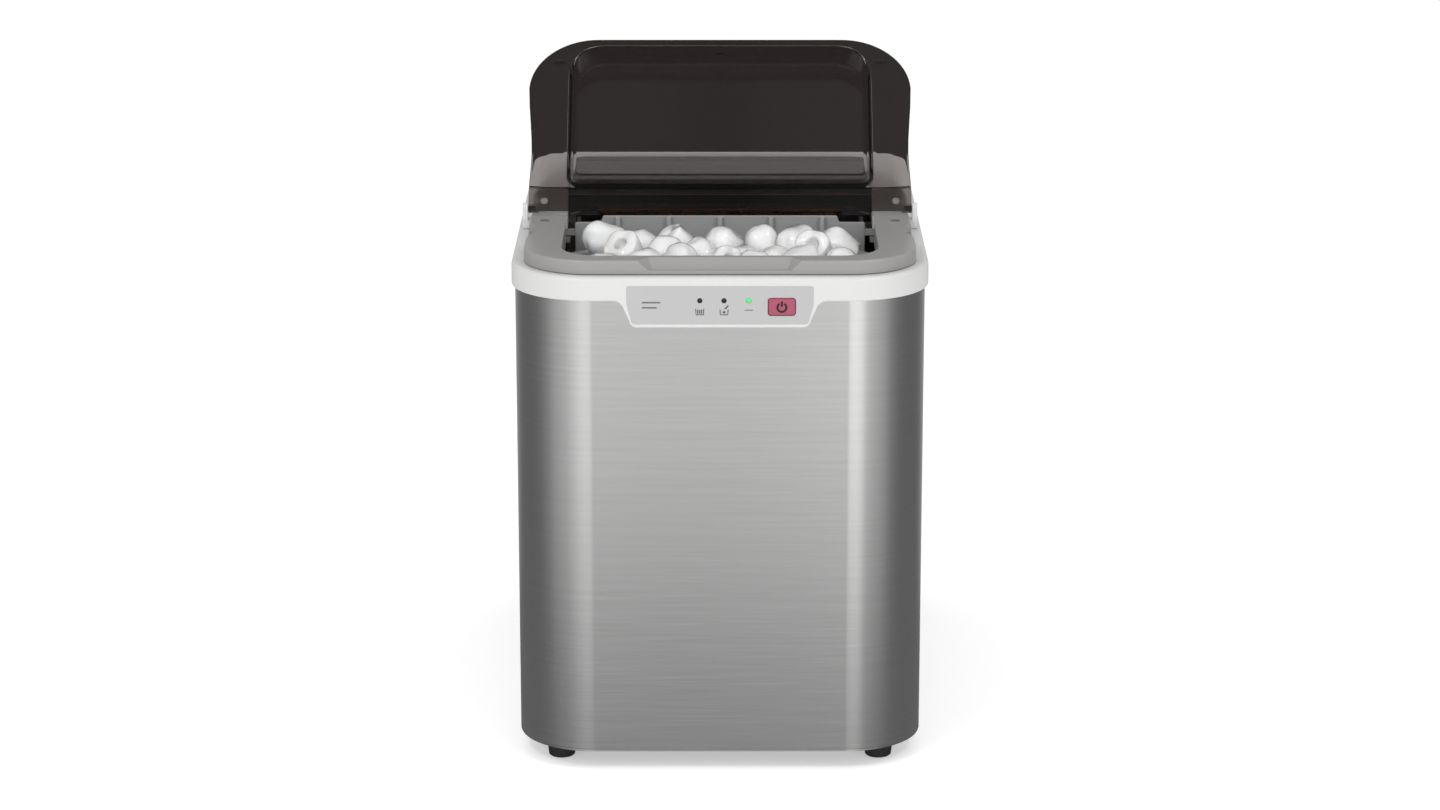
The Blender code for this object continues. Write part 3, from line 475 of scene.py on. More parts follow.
def tab_edge():
    """Lower edge of the rim along its front, from the right end of the tab to past its middle."""
    inner_r, outer_r = 6.4, 4.4
    concave = arc(61.0, RIM_BOTTOM - inner_r, inner_r, 90, 168, 10)
    convex = arc(47.4, TAB_BOTTOM + outer_r, outer_r, -8, -90, 10)
    straight = [(42.0 - 6.0 * i, TAB_BOTTOM) for i in range(8)]
    return [(66.0, RIM_BOTTOM)] + concave + convex + straight


def rim_loop(inset, level, above_edge):
    """The rim's perimeter at an inset, at one height or at a height above its lower edge."""
    ring = rounded(RIM_HALF_W, FRONT_Y, REAR_Y, RIM_FRONT_R, RIM_REAR_R, inset, 24)
    right = tab_edge()
    left = [(-x, z) for x, z in right]
    points = [(x, y, RIM_BOTTOM) for x, y in ring]
    points += [(x, FRONT_Y + inset, z) for x, z in left + right[::-1][1:]]
    return [(x, y, edge + level if above_edge else level) for x, y, edge in points]


def white_rim():
    """White frame with a soft outer edge; its tab on the front carries the control panel."""
    soft, crown, skirt = 0.9, 2.4, 1.7
    seat = RIM_TOP - 0.5
    underside = RIM_TOP - 2.2
    foot = [(inset, rise, True) for inset, rise in arc(soft, soft, soft, -90, -180, 4)]
    top = arc(crown, RIM_TOP - crown, crown, 180, 90, 7)
    top += [(7.2, RIM_TOP), (7.6, seat), (14.5, seat), (14.5, underside), (skirt, underside)]
    inside = [(skirt, 0.3, True), (skirt - 0.3, 0.0, True)]
    section = foot + [(inset, z, False) for inset, z in top] + inside
    rim = loft("white_rim", [rim_loop(*corner) for corner in section], WHITE, ring=True)
    pierce_front(rim, 1.7)
    place(rim, "cabinet", "white_plastic", ["top_rim"])


# ---------------------------------------------------------------- control panel

def button_outline(grow=0.0):
    half_w, half_h, corner = 7.7 + grow, 4.9 + grow, 1.5 + grow
    return [(BUTTON_X + x, BUTTON_Z + z) for x, z in rounded(half_w, -half_h, half_h, corner, corner, 0.0, 6)]


def pierce_front(obj, lens_r):
    """Cut the button's slot and the lens holes through a piece on the front."""
    outside, inside = FRONT_Y - 11.0, FRONT_Y + 3.0
    carve(obj, prism("button_slot", button_outline(0.35), outside, inside, axis="Y"))
    for x in LENS_X:
        carve(obj, turn("lens_bore", [(lens_r, outside), (lens_r, inside)], (x, 0, LENS_Z), "Y", sides=24))


def overlay_outline(inset=0.0):
    top, bottom = 293.0 - inset, 270.6 + inset
    corners = [(0.0, top), (53.4 - inset, top), (53.3 - inset, 282.0), (50.2 - inset, bottom), (0.0, bottom)]
    half = fillet(corners, (1.6, 9.0, 2.4))
    return half + [(-x, z) for x, z in half[::-1][1:-1]]


def control_panel():
    """Printed film on the tab, the three lenses, the button and the marks."""
    layers = [(overlay_outline(0.2), FRONT_Y - 0.18), (overlay_outline(), FRONT_Y - 0.05),
              (overlay_outline(), FRONT_Y + 0.6)]
    film = plate("control_film", layers, OVERLAY, axis="Y")
    pierce_front(film, 1.55)
    place(film, "cabinet", "panel_overlay", ["control_overlay"])
    for name, x, mat in zip(LENSES, LENS_X, (BLACK, BLACK, GREEN)):
        dome = [(1.4, 3.9), (1.4, 0.15)] + [(r, 0.15 - h) for r, h in arc(0, 0, 1.38, 0, 80, 6, 0.4)]
        lens = turn(f"{name}_dome", [(r, FRONT_Y + h) for r, h in dome], (x, 0, LENS_Z), "Y", mat, 28)
        place(lens, "cabinet", "green_lens" if mat is GREEN else "black_plastic", [name])
    power_button()
    icons()


def power_button():
    """Soft-edged cap with the stem that presses the switch, and the power mark on its face."""
    face = FRONT_Y - 0.9
    rounds = [(1.3, 0.0), (0.8, 0.06), (0.35, 0.25), (0.08, 0.55), (0.0, 0.95), (0.0, 3.0)]
    layers = [(button_outline(-inset), face + back) for inset, back in rounds]
    cap = plate("power_button_cap", layers, PINK, axis="Y")
    square = [(BUTTON_X + a, BUTTON_Z + b) for a, b in ((-2, -2), (2, -2), (2, 2), (-2, 2))]
    carve(cap, prism("button_stem", square, face + 2.5, face + 3.9, axis="Y"), "UNION")
    place(cap, "power_button", "pink_button", ["power_button"])
    place(power_symbol(face), "power_button", "black_plastic")


def stroke(points, width):
    """Left and right edges of a line of even width along a path."""
    left, right = [], []
    for i, point in enumerate(points):
        before = Vector(points[max(i - 1, 0)])
        after = Vector(points[min(i + 1, len(points) - 1)])
        side = (after - before).normalized().orthogonal() * width / 2
        left.append(tuple(Vector(point) + side))
        right.append(tuple(Vector(point) - side))
    return list(zip(left, right))


def raised_strokes(name, strokes, y_front, y_back, mat):
    """Printed lines, slightly proud of a face that looks to the front, as one piece."""
    bm = bmesh.new()
    for pairs in strokes:
        rows = []
        for (ax, az), (bx, bz) in pairs:
            corners = ((ax, y_front, az), (bx, y_front, bz), (bx, y_back, bz), (ax, y_back, az))
            rows.append([bm.verts.new(corner) for corner in corners])
        for low, high in zip(rows, rows[1:]):
            join_rows(bm, low, high)
        cap_ends(bm, rows)
    return new_object(name, bm, mat)


def power_symbol(face):
    """Ring with a gap at its top, and a bar in the gap."""
    width = 1.15
    ring = arc(BUTTON_X, BUTTON_Z - 0.2, 2.55, 122, 418, 26)
    bar = [(BUTTON_X, BUTTON_Z + 0.2), (BUTTON_X, BUTTON_Z + 3.4)]
    strokes = [stroke(ring, width), stroke(bar, width)]
    return raised_strokes("power_symbol", strokes, face - 0.08, face + 0.3, PRINT)


def tub(x, top, low):
    """Outline of an open tub."""
    return stroke([(x - 2.3, top), (x - 2.1, low), (x + 2.1, low), (x + 2.3, top)], 0.5)


def icons():
    """Small marks: a full basket, a water tank with a spout, and plain rules in place of words."""
    basket_x, tank_x, rule_x = LENS_X
    top, low, rule_z = 279.7, 276.3, 279.0
    bars = [stroke([(basket_x + dx, low + 0.6), (basket_x + dx, top - 0.4)], 0.55) for dx in (-1.1, 0.0, 1.1)]
    cross = [stroke([(tank_x - 0.9, low + 1.5), (tank_x + 0.9, low + 1.5)], 0.5),
             stroke([(tank_x, low + 0.7), (tank_x, low + 2.3)], 0.5)]
    spout = [stroke([(tank_x + 0.2, top + 0.3), (tank_x + 1.2, top + 0.5), (tank_x + 2.4, top + 2.1)], 0.65)]
    rules = [stroke([(-44.5, z), (end, z)], 0.9) for z, end in ((283.4, -34.0), (280.4, -36.0))]
    marks = [("basket_icon", [tub(basket_x, top, low)] + bars, PRINT),
             ("tank_icon", [tub(tank_x, top - 0.4, low)] + cross + spout, PRINT),
             ("lens_rule", [stroke([(rule_x - 2.4, rule_z), (rule_x + 2.4, rule_z)], 0.55)], PALE_PRINT),
             ("panel_rules", rules, PALE_PRINT)]
    for name, strokes, mat in marks:
        mark = raised_strokes(name, strokes, FRONT_Y - 0.24, FRONT_Y + 0.2, mat)
        place(mark, "cabinet", "black_plastic")


# ---------------------------------------------------------------- bezel

def u_path(half_w, front, radius, steps=18):
    """U from the right rear end round the front, as (point, direction towards its middle) pairs."""
    path = [((half_w, BEZEL_REAR), (-1, 0)), ((half_w, (BEZEL_REAR + front + radius) / 2), (-1, 0))]
    for i in range(steps + 1):
        angle = math.radians(-90 * i / steps)
        out = (math.cos(angle), math.sin(angle))
        point = (half_w - radius + radius * out[0], front + radius + radius * out[1])
        path.append((point, (-out[0], -out[1])))
    path += [((x, front), (0, 1)) for x in (30.0, 0.0)]
    mirrored = [((-p[0], p[1]), (-n[0], n[1])) for p, n in path[:-1]]
    return path + mirrored[::-1]


def bezel_section():
    """Corners of the frame's cross-section, each as (side, distance from that side to the middle, z)."""
    edge, lip, wall = 1.3, 0.9, 2.0
    section = [("inner", 0.0, BEZEL_SKIRT)]
    section += [("inner", -a, z) for a, z in arc(-lip, BEZEL_TOP - lip, lip, 0, 90, 5)]
    section += [("outer", a, z) for a, z in arc(edge, BEZEL_TOP - edge, edge, 90, 180, 6)]
    section += [("outer", -0.25, COVER_BOTTOM + 0.4), ("outer", 0.15, COVER_BOTTOM)]
    section += [("inner", -wall, COVER_BOTTOM), ("inner", -wall, BEZEL_SKIRT)]
    return section


def cut_grips(bezel):
    """Sloped recess on the front and a finger scallop on each side."""
    outside = BEZEL_FRONT - 3.0
    low = tapered(42.0, outside, 39.0, BEZEL_FRONT + 4.0)
    high = tapered(49.8, outside, 41.5, BEZEL_FRONT + 9.6)
    carve(bezel, plate("front_grip", [(low, GRIP_FLOOR), (high, BEZEL_TOP + 0.6)]))
    outside = BEZEL_HALF_W + 4.5
    deep = BEZEL_HALF_W - 3.6
    scallop = fillet([(outside, -113.0), (BEZEL_HALF_W, -111.0), (deep, -103.0), (deep, -78.0),
                      (BEZEL_HALF_W, -69.0), (outside, -67.0)], (4.0, 5.0, 5.0, 4.0))
    for side, _ in SIDES:
        carve(bezel, prism("side_grip", [(side * x, y) for x, y in scallop], GRIP_FLOOR, 310.0))


def bezel_pads():
    """Flat round pads that the lid's bumpers meet."""
    for side, name in SIDES:
        rises = ((3.1, -0.4), (3.1, 0.05), (2.8, 0.14), (0.5, 0.14))
        profile = [(radius, BEZEL_TOP + rise) for radius, rise in rises]
        pad = turn(f"bezel_pad_{name}", profile, (side * 104.5, -66.0, 0), "Z", PAD, 28)
        place(pad, "cabinet", "grey_plastic")


def grey_bezel():
    """Grey frame round the ice, with rounded edges, a front grip and a finger grip on each side."""
    outline = u_path(BEZEL_HALF_W, BEZEL_FRONT, 40.0)
    opening = u_path(OPENING_HALF_W, OPENING_FRONT, 24.0)
    loops = []
    for outer, inner in zip(outline, opening):
        starts = {"outer": outer, "inner": inner}
        loop = []
        for side, shift, z in bezel_section():
            (x, y), (to_x, to_y) = starts[side]
            loop.append((x + to_x * shift, y + to_y * shift, z))
        loops.append(loop)
    bezel = loft("grey_bezel", loops, BEZEL_GREY)
    cut_grips(bezel)
    soften(bezel, 0.35, 2, 48.0)
    place(bezel, "cabinet", "grey_plastic", ["bezel"])
    bezel_pads()


# ---------------------------------------------------------------- rear cover and window

def cover_loop(y, z):
    """Section of the cover across its width; the sides pull in round the rear corners."""
    corner, edge = 18.0, 9.0
    into = max(0.0, y - (COVER_REAR - corner))
    half = BEZEL_HALF_W - corner + math.sqrt(max(corner ** 2 - into ** 2, 0.0))
    soft = min(edge, 0.75 * (z - COVER_BOTTOM) + 0.2)
    right = [(half, COVER_BOTTOM)] + arc(half - soft, z - soft, soft, 0, 90, 6)
    return [(x, y, h) for x, h in right] + [(-x, y, h) for x, h in right[::-1]]


def white_cover():
    """Shell over the ice making unit, open at the front under the window."""
    profile = fillet([(COVER_FRONT, COVER_LEDGE), (-42.2, COVER_LEDGE), (-35.9, COVER_TOP), (70.0, COVER_TOP),
                      (86.5, COVER_DECK), (COVER_REAR, COVER_DECK), (COVER_REAR, COVER_BOTTOM)],
                     (1.0, 1.6, 4.0, 3.0, 1.6), 6)
    cover = loft("white_cover", [cover_loop(y, z) for y, z in profile[:-1]], WHITE)
    below, above = 290.0, 330.0
    carve(cover, boxes("cover_opening", [((-91.5, 91.5), (-60.0, 46.0), (below, above))]))
    rebate = rounded(91.5, 40.0, WINDOW_REAR + 0.3, 0.4, 9.3, 0.0, 8)
    carve(cover, prism("cover_rebate", rebate, REBATE_Z, above))
    notches = [(x, (45.0, 60.0), (below, 306.0)) for x in ((-78.0, -66.0), (40.0, 50.0))]
    carve(cover, boxes("cover_notches", notches))
    carve(cover, boxes("cover_pocket", [((-100.0, 100.0), (48.5, 80.0), (below, 304.0))]))
    soften(cover, 0.5, 3, 48.0)
    place(cover, "cabinet", "white_plastic", ["rear_cover"])
    hinge_ears()


def hinge_ears():
    """White ears beside the cover that hold the outer ends of the lid's pins."""
    front, rear = HINGE_Y - 5.0, HINGE_Y + 5.0
    profile = [(front, 298.4), (rear, 298.4)] + arc(HINGE_Y, HINGE_Z, 3.6, -8, 188, 18)
    for side, name in SIDES:
        low, high = span(side, 115.4, 118.4)
        ear = prism(f"hinge_ear_{name}", profile, low, high, WHITE, "X")
        foot = (span(side, 112.8, 118.4), (front, rear), (COVER_BOTTOM, 303.0))
        carve(ear, boxes("ear_foot", [foot]), "UNION")
        bore = [(PIN_BORE_R, low - 2), (PIN_BORE_R, high + 2)]
        carve(ear, turn("ear_bore", bore, (0, HINGE_Y, HINGE_Z), "X", sides=24))
        soften(ear, 0.4, 2, 48.0)
        place(ear, "cabinet", "white_plastic")


def smoked_window():
    """Fixed pane over the evaporator with a turned-down front lip, its gasket and its lintel."""
    underside = WINDOW_TOP - 1.6
    end = 70.0
    outside = fillet([(WINDOW_FRONT, WINDOW_LOW), (-35.5, WINDOW_TOP), (end, WINDOW_TOP)], (0.8,))
    inside = fillet([(end, underside), (-34.4, underside), (-35.4, WINDOW_LOW)], (0.4,))
    pane = prism("smoked_pane", outside + inside, -95.0, 95.0, SMOKE_WINDOW, "X")
    plan = rounded(WINDOW_HALF_W, -60.0, WINDOW_REAR, 0.4, 9.0, 0.0, 8)
    carve(pane, prism("pane_plan", plan, 300.0, 330.0), "INTERSECT")
    soften(pane, 0.2, 2, 60.0)
    pane.visible_shadow = False
    place(pane, "cabinet", "smoked_plastic", ["rear_window"])
    shelf = rounded(WINDOW_HALF_W + 0.2, 46.3, WINDOW_REAR + 0.2, 0.4, 9.2, 0.0, 8)
    gasket = prism("window_gasket", shelf, REBATE_Z + 0.02, REBATE_Z + 0.08, BLACK)
    place(gasket, "cabinet", "black_plastic")
    window_lintel()


def window_lintel():
    """Black bar under the window's lip, with a paler strip that dips at both ends: a painted highlight along
    its edge.
    """
    corners = [(-39.9, LINTEL_LOW), (-37.4, LINTEL_TOP), (-35.4, LINTEL_TOP), (-37.9, LINTEL_LOW)]
    bar = fillet(corners, (0.5, 0.5))
    lintel = prism("lintel_bar", bar, -WINDOW_HALF_W, WINDOW_HALF_W, BLACK, "X")
    place(lintel, "cabinet", "black_plastic", ["window_lintel"])
    path = [(-90.0, 305.0), (-82.0, 307.6), (-74.0, 309.9), (-66.0, 310.4)]
    path += [(-x, z) for x, z in path[::-1]]
    # Paler strip along the bar's edge: a painted highlight.
    edge = raised_strokes("lintel_painted_highlight", [stroke(path, 0.7)], -40.9, -40.2, PAD)
    place(edge, "cabinet", "black_plastic")


# ---------------------------------------------------------------- lid

# The lid is drawn shut, with u the reach from the hinge and v the height over the brim's underside,
# and is then turned open about the hinge.
LID_MATRIX = Matrix.Translation((0, HINGE_Y, HINGE_Z)) @ Matrix.Rotation(-math.radians(LID_OPEN_DEG), 4, "X")
LID_AXIS_V = 2.6
BRIM_HALF_W = 115.0
CROWN_HALF_W = 92.0
CROWN_TOP_V = 21.0


def brim_path(inset):
    """Half outline of the brim as (x, u), from the middle of the hinge side to the middle of the free end."""
    half, near = BRIM_HALF_W - inset, 13.5 + inset
    path = [(x, near) for x in (0.0, 30.0, 60.0, 85.0)] + [(half, near)]
    path += [(half, near + 1.5 + 0.5 * i) for i in range(5)]
    waist = ((114.7, 22.0), (114.2, 30.0), (114.0, 38.0), (114.3, 48.0), (115.1, 60.0), (116.0, 72.0))
    path += [(x - inset, u) for x, u in waist]
    path += arc(74.6, 83.5, 42.0 - inset, 3, 90, 18, 37.5 - inset)
    path += [(x, 121.0 - inset) for x in (55.0, 30.0, 0.0)]
    return path


def crown_path(inset, near):
    """Half outline of the crown, in as many steps as the brim's."""
    half, far = CROWN_HALF_W - inset, 118.0 - inset
    near_r, far_r = max(7.0 - inset, 0.6), max(21.0 - inset, 2.0)
    start, end = near + near_r, far - far_r
    path = [(x, near) for x in (0.0, 30.0, 60.0)]
    path += arc(half - near_r, start, near_r, -90, 0, 6)
    path += [(half, start + (end - start) * i / 7) for i in range(1, 7)]
    path += arc(half - far_r, end, far_r, 0, 90, 18)
    path += [(x * (half - far_r) / 71.0, far) for x in (50.0, 25.0, 0.0)]
    return path


def lid_loop(half, v):
    points = half + [(-x, u) for x, u in half[-2:0:-1]]
    return [(x, -u, v - LID_AXIS_V) for x, u in points]


def crown_slope(v):
    """Reach from the hinge of the crown's sloping near wall."""
    return 15.0 + 18.5 * (v - 2.0) / 19.0


def lid_loops():
    """Loops over the crown's outside, round the brim's edge and up the crown's inside."""
    def crown(v, inset, near):
        return lid_loop(crown_path(inset, near), v)
    outer_r, inner_r, wall = 3.5, 2.0, 2.8
    outer_edge = arc(0.6 + outer_r, CROWN_TOP_V - outer_r, outer_r, 90, 180, 6)
    inner_edge = arc(2.6 + inner_r, CROWN_TOP_V - 4.0, inner_r, 180, 90, 5)
    loops = [crown(v, inset, crown_slope(v) + inset * 0.3) for inset, v in outer_edge]
    loops += [crown(3.2, 0.0, crown_slope(3.2)), crown(2.3, -0.35, 14.6), crown(2.0, -0.9, 14.3)]
    loops += [lid_loop(brim_path(inset), v) for inset, v in arc(1.0, 1.0, 1.0, 90, 270, 8)]
    loops += [crown(0.0, 1.2, 15.8), crown(0.3, 1.8, 16.4), crown(1.2, 2.0, crown_slope(1.2) + wall)]
    loops += [crown(v, inset, crown_slope(v) + wall + inset * 0.2) for inset, v in inner_edge]
    return loops


def smoked_lid():
    """Brim and hollow crown in one moulding."""
    lid = loft("smoked_lid", lid_loops(), SMOKE, matrix=LID_MATRIX, smooth_deg=50.0)
    place(lid, "lid", "smoked_plastic", ["lid_shell"])
    hinge_band()
    lid_details()


def hinge_band():
    """Strip of the brim along the hinge, with a knuckle at each end; its darker tint is painted shade."""
    section = arc(-1.7, 1.0, 1.0, 90, 270, 6) + [(13.3, 0.0), (13.3, 2.0)]
    loops = [[(x, -u, v - LID_AXIS_V) for u, v in section] for x in (-BRIM_HALF_W, BRIM_HALF_W)]
    band = loft("lid_hinge_band", loops, SMOKE_PAINTED_SHADE, matrix=LID_MATRIX)
    for side, _ in SIDES:
        knuckle = [(2.6, x) for x in span(side, 109.0, BRIM_HALF_W)]
        carve(band, turn("knuckle", knuckle, (0, 0, 0), "X", sides=32, matrix=LID_MATRIX), "UNION")
        bore = [(PIN_BORE_R, x) for x in span(side, 110.5, 117.0)]
        carve(band, turn("knuckle_bore", bore, (0, 0, 0), "X", sides=24, matrix=LID_MATRIX))
    place(band, "lid", "smoked_plastic")


def lid_details():
    """Moulded nubs beside the crown's far corners and a round plug in the end wall."""
    outline = rounded(3.2, -105.2, -102.6, 0.6, 0.6, 0.0, 4)
    for side, name in SIDES:
        shifted = [(side * 98.5 + x, y) for x, y in outline]
        layers = [(shifted, v - LID_AXIS_V) for v in (-0.28, 0.02)]
        place(plate(f"lid_nub_{name}", layers, SMOKE, matrix=LID_MATRIX), "lid", "smoked_plastic")
    profile = [(2.4, -115.95), (2.6, -115.3), (2.1, -115.0), (0.5, -114.9)]
    plug = turn("lid_plug", profile, (0, 0, 8.5 - LID_AXIS_V), "Y", BLACK, 28, matrix=LID_MATRIX)
    place(plug, "lid", "black_plastic")


# ---------------------------------------------------------------- ice

ICE_R = 11.4
ICE_LENGTH = 23.5
HEAP_Z = 295.5
HEAP_PITCH = 22.8
HEAP_DROP = 15.0


def bullet_profile(radius, length, hole):
    """(radius, height) from the bottom of the finger's hole, round the rim and up to the domed end."""
    base, lip = -length * 0.5, radius * 0.22
    profile = [(hole * 0.3, base + 7.0), (hole * 0.8, base + 6.2), (hole, base + 4.0)]
    profile += [(hole * 1.1, base + 1.2), (hole * 1.1 + lip * 0.5, base)]
    profile += [(radius - lip + r, base + lip + h) for r, h in arc(0.0, 0.0, lip, -90, 0, 4)]
    profile += [(radius * math.cos(math.radians(a)), length * 0.5 * math.sin(math.radians(a)))
                for a in (5, 20, 35, 50, 64, 76, 86)]
    return profile


def bullet_mesh(bm, seed, matrix):
    """One ice bullet: a thimble with a domed end and, in the other end, the hole left by its finger."""
    rng = random.Random(seed)
    radius = ICE_R * rng.uniform(0.9, 1.05)
    length = ICE_LENGTH * rng.uniform(0.88, 1.06)
    hole = radius * rng.uniform(0.30, 0.38)
    sides = 30
    offset = Vector((seed * 3.1, seed * 1.7, 0.0))
    rows = []
    for r, h in bullet_profile(radius, length, hole):
        row = []
        for i in range(sides):
            a = math.tau * i / sides
            point = Vector((r * math.cos(a), r * math.sin(a), h))
            swell = noise.noise(point / 9.0 + offset) * 0.16 + noise.noise(point / 4.0 + offset) * 0.04
            row.append(bm.verts.new(matrix @ (point * (1.0 + swell))))
        rows.append(row)
    for low, high in zip(rows, rows[1:]):
        join_rows(bm, low, high)
    cap_ends(bm, rows)


def heap_places(rng):
    """Middles of the bullets in the heap: shaken layers of staggered rows."""
    even, odd = (-134.0, -115.0, -95.0), (-125.0, -105.0, -86.0)
    for layer, rows in enumerate((even, odd, even)):
        for row, y in enumerate(rows):
            count = 7 - (row + layer) % 2
            for i in range(count):
                x = HEAP_PITCH * (i - (count - 1) / 2)
                z = HEAP_Z - HEAP_DROP * layer + 1.6 * row
                yield x + rng.uniform(-3, 3), y + rng.uniform(-3, 3), z + rng.uniform(-6, 3)


def ice_heap():
    """Loose bullets heaped in the basket; only the upper layers, which show, are made."""
    rng = random.Random(8)
    bm = bmesh.new()
    for i, middle in enumerate(heap_places(rng)):
        lean = rng.choice((35, 55, 70, -125, 25, 95, 60)) + rng.uniform(-14, 14)
        tilt = Matrix.Rotation(math.radians(lean), 4, "X")
        spin = Matrix.Rotation(rng.uniform(-1.6, 1.6), 4, "Z")
        bullet_mesh(bm, i + 1, Matrix.Translation(middle) @ spin @ tilt)
    heap = new_object("ice_heap", bm, ICE, 60.0)
    smooth = heap.modifiers.new("round", "SUBSURF")
    smooth.levels = 1
    smooth.render_levels = 1
    settle(heap)
    shade(heap.data, 70.0)
    place(heap, "basket")


# ---------------------------------------------------------------- shovel

def grey_shovel():
    """Pusher plate with rounded edges, half-round ribs on its front and an arm on each side."""
    front = SHOVEL_REAR - 2.0
    shoulder_z = 302.0
    right = fillet([(0.0, SHOVEL_LOW), (87.0, SHOVEL_LOW), (87.0, shoulder_z), (71.5, shoulder_z),
                    (70.0, SHOVEL_TOP), (0.0, SHOVEL_TOP)], (1.5, 1.5, 1.0, 1.2))
    outline = right[:-1] + [(-x, z) for x, z in right[:0:-1]]
    blade = prism("shovel_plate", outline, front, SHOVEL_REAR, BASKET_GREY, "Y")
    soften(blade, 0.35, 2, 60.0)
    place(blade, "shovel", "liner_grey", ["ice_shovel"])
    for i in range(5):
        x = 30.6 * (i - 2)
        nose = [(x - 1.5, front + 0.2)] + arc(x, front - 2.0, 1.5, 180, 360, 10) + [(x + 1.5, front + 0.2)]
        # The ribs' lighter grey is a painted highlight.
        rib = prism(f"shovel_rib_{i + 1}", nose, SHOVEL_LOW + 0.5, SHOVEL_TOP - 0.5, RIB_GREY_PAINTED_HIGHLIGHT)
        soften(rib, 0.3, 2, 60.0)
        place(rib, "shovel", "liner_grey")
    for side, name in SIDES:
        extent = (span(side, 86.5, SHOVEL_HALF_W), (front + 0.2, front + 1.8), (293.8, 297.9))
        arm = boxes(f"shovel_arm_{name}", [extent], BASKET_GREY)
        soften(arm, 0.3, 2, 60.0)
        place(arm, "shovel", "liner_grey")


# ---------------------------------------------------------------- CAD nodes that stay

KEPT = [
    (ZINC, ["base_pan", "rear_panel", "bulkhead", "compressor_mount", "fan_motor", "evaporator_bracket",
            "tray_pivot_pin", "tray_motor_shaft", "hinge_pin_left", "hinge_pin_right"]),
    (ZINC, [f"rear_screw_{i}" for i in (1, 2, 3, 4)]),
    (COPPER, ["evaporator", "capillary_tube", "discharge_line", "liquid_line", "suction_line",
              "filter_drier"]),
    (BLACK, ["fan_shroud", "fan_blades", "drain_cap", "drain_socket", "ice_sensor_left", "ice_sensor_right",
             "tact_switch", "tray_motor", "water_pump"]),
    (RUBBER, ["drain_tube", "cord_gland"]),
    (RUBBER, [f"foot_{end}_{name}" for end in ("front", "rear") for _, name in SIDES]),
    (PAD, ["lid_bumper_left", "lid_bumper_right"]),
    (WHITE, ["water_tray", "tray_bearing_post", "water_hose"]),
    (ENAMEL, ["compressor"]),
    (FINS, ["condenser"]),
    (BOARD, ["control_board"]),
    (LINER_GREY, ["inner_liner"]),
    (BASKET_GREY, ["ice_basket"]),
]


def dress_kept_nodes():
    for mat, names in KEPT:
        for name in names:
            mesh = frame["nodes"][name].data
            mesh.materials.clear()
            mesh.materials.append(mat)


# ---------------------------------------------------------------- studio

# Brightness of the light tent that glossy surfaces see: by direction round the object, in degrees
# from its front towards +X, and by height, in degrees above level.
TENT_AROUND = [(-180, 0.40), (-155, 0.22), (-130, 0.12), (-98, 0.12), (-77, 0.20), (-59, 0.36), (-42, 0.48),
               (-27, 0.66), (-8, 0.80), (-3, 0.60), (0, 0.45), (2, 0.50), (5, 0.88), (13, 0.93), (30, 0.57),
               (55, 0.36), (83, 0.14), (100, 0.11), (130, 0.12), (155, 0.24), (180, 0.40)]
TENT_UPRIGHT = [(-90, 0.50), (-45, 0.52), (-30, 0.46), (-26, 0.26), (-23, 0.12), (-20.8, 0.14), (-18, 0.55),
                (-16, 0.88), (0, 1.0), (30, 0.85), (60, 0.5), (90, 0.35)]
TENT_LEAST = 0.10
TENT_POWER = 1.4


def add_background(tree, colour, strength):
    node = tree.nodes.new("ShaderNodeBackground")
    node.inputs["Color"].default_value = (*colour, 1.0)
    node.inputs["Strength"].default_value = strength
    return node


def add_choice(tree, factor, first, second):
    """The second shader where factor is 1, else the first."""
    mix = tree.nodes.new("ShaderNodeMixShader")
    tree.links.new(factor, mix.inputs[0])
    tree.links.new(first.outputs[0], mix.inputs[1])
    tree.links.new(second.outputs[0], mix.inputs[2])
    return mix


def add_curve(tree, angle, span_deg, points):
    """Smooth function of an angle in radians, through (degrees, value) points on a span of span_deg."""
    value = add_maths(tree, "ADD", add_maths(tree, "DIVIDE", angle, math.radians(span_deg)), 0.5)
    node = tree.nodes.new("ShaderNodeFloatCurve")
    line = node.mapping.curves[0]
    places = [(0.5 + degrees / span_deg, level) for degrees, level in points]
    line.points[0].location = places[0]
    line.points[1].location = places[-1]
    for place_on_line in places[1:-1]:
        line.points.new(*place_on_line)
    node.mapping.update()
    tree.links.new(value, node.inputs["Value"])
    return node.outputs["Value"]


def tent_strength(tree):
    """Light from a direction: the two tent curves multiplied, and never less than a floor."""
    coords = tree.nodes.new("ShaderNodeTexCoord")
    split = tree.nodes.new("ShaderNodeSeparateXYZ")
    tree.links.new(coords.outputs["Generated"], split.inputs[0])
    forward = add_maths(tree, "MULTIPLY", split.outputs["Y"], -1.0)
    azimuth = add_maths(tree, "ARCTAN2", split.outputs["X"], forward)
    height = add_maths(tree, "ARCSINE", split.outputs["Z"])
    around = add_curve(tree, azimuth, 360.0, TENT_AROUND)
    upright = add_curve(tree, height, 180.0, TENT_UPRIGHT)
    level = add_maths(tree, "MAXIMUM", add_maths(tree, "MULTIPLY", around, upright), TENT_LEAST)
    return add_maths(tree, "MULTIPLY", level, TENT_POWER)


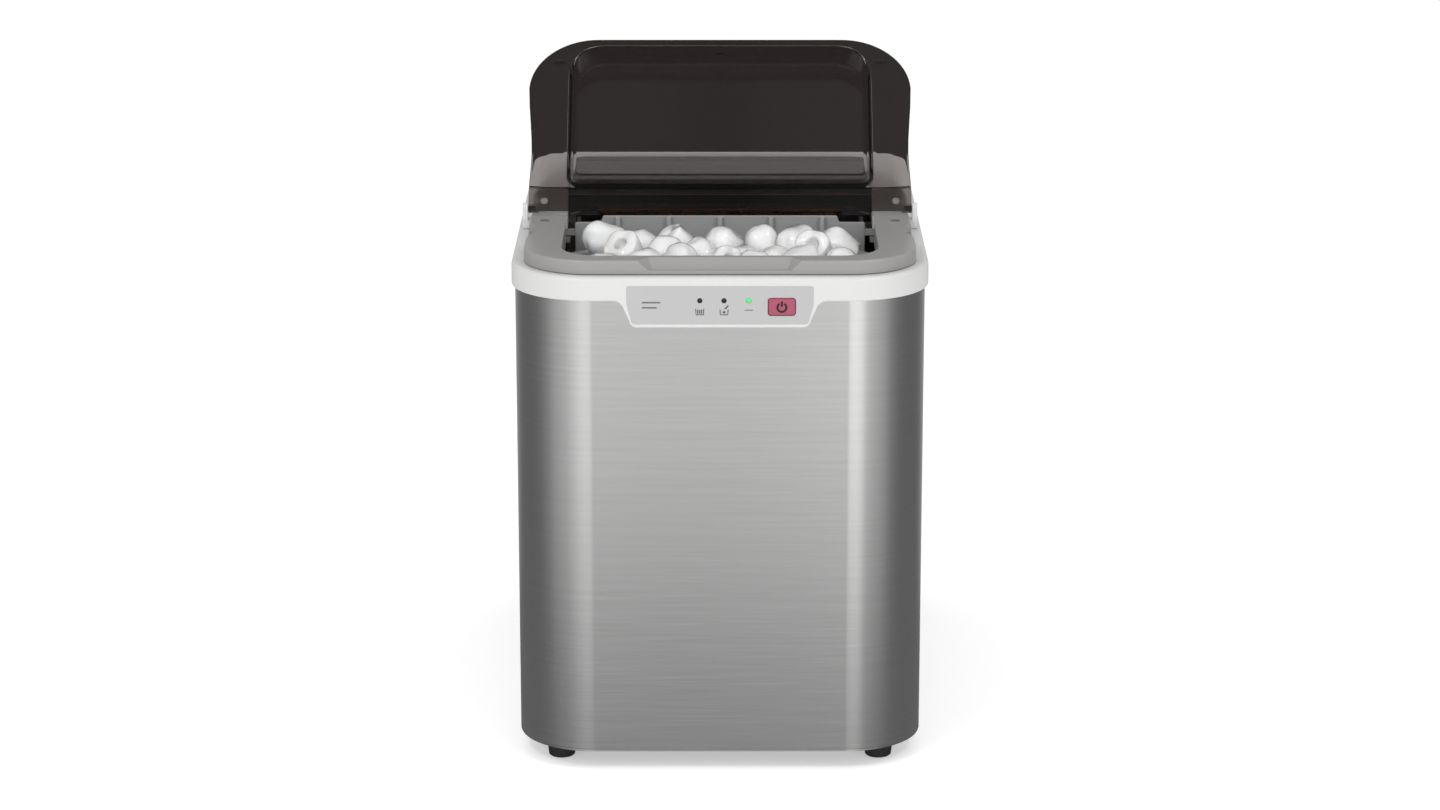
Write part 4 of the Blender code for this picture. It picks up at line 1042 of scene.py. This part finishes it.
def world_light():
    """White backdrop, plain room light for diffuse surfaces, and a tent with soft bands for glossy ones."""
    world = bpy.data.worlds.new("studio")
    bpy.context.scene.world = world
    world.use_nodes = True
    tree = world.node_tree
    tree.nodes.clear()
    output = tree.nodes.new("ShaderNodeOutputWorld")
    path = tree.nodes.new("ShaderNodeLightPath")
    tent = add_background(tree, (1.0, 0.995, 0.99), 1.0)
    tree.links.new(tent_strength(tree), tent.inputs["Strength"])
    room = add_background(tree, (1.0, 1.0, 1.0), 0.66)
    backdrop = add_background(tree, (1.0, 1.0, 1.0), 1.0)
    behind_smoke = add_background(tree, (1.0, 0.86, 0.83), 0.042)
    chosen = add_choice(tree, path.outputs["Is Glossy Ray"], room, tent)
    chosen = add_choice(tree, path.outputs["Is Transmission Ray"], chosen, behind_smoke)
    chosen = add_choice(tree, path.outputs["Is Camera Ray"], chosen, backdrop)
    tree.links.new(chosen.outputs[0], output.inputs["Surface"])


def soft_light(name, location, target, size, power, sparkle=False):
    """Rectangular lamp in metres and watts; only a sparkle lamp shows in glossy surfaces."""
    data = bpy.data.lights.new(name, "AREA")
    data.shape = "RECTANGLE"
    data.size, data.size_y = size
    data.energy = power
    obj = bpy.data.objects.new(name, data)
    obj.location = location
    obj.rotation_euler = (Vector(target) - Vector(location)).to_track_quat("-Z", "Y").to_euler()
    obj.visible_glossy = sparkle
    bpy.context.scene.collection.objects.link(obj)


def studio():
    """Pale floor and soft lamps."""
    bm = bmesh.new()
    bmesh.ops.create_grid(bm, x_segments=1, y_segments=1, size=14000.0)
    floor = new_object("floor", bm, floor_material())
    floor.visible_glossy = False
    floor.visible_transmission = False
    soft_light("overhead", (0.0, -0.3, 2.3), (0.0, 0.0, 0.2), (2.4, 2.0), 5.5)
    soft_light("front_left", (-1.5, -2.2, 1.3), (0.0, 0.0, 0.25), (1.0, 1.4), 10.0)
    soft_light("front_right", (1.7, -2.0, 1.1), (0.0, 0.0, 0.25), (0.8, 1.2), 6.0)
    soft_light("sparkle_left", (-0.5, -0.9, 1.1), (0.0, -0.1, 0.31), (0.12, 0.12), 2.4, True)
    soft_light("sparkle_right", (0.6, -0.7, 1.1), (0.0, -0.1, 0.31), (0.10, 0.16), 2.0, True)


def camera():
    """Long lens in front of the object, looking down on it by 15 degrees."""
    pitch_deg = 15.06
    data = bpy.data.cameras.new("camera")
    data.sensor_width = 36.0
    data.lens = 95.66
    data.clip_end = 60.0
    obj = bpy.data.objects.new("camera", data)
    obj.location = (0.0, -2.296, 0.7927)
    obj.rotation_euler = (math.radians(90.0 - pitch_deg), 0.0, 0.0)
    bpy.context.scene.collection.objects.link(obj)
    bpy.context.scene.camera = obj
    bpy.context.scene.view_settings.view_transform = "Standard"


steel_wrap()
white_rim()
control_panel()
grey_bezel()
white_cover()
smoked_window()
smoked_lid()
grey_shovel()
ice_heap()
dress_kept_nodes()
world_light()
studio()
camera()
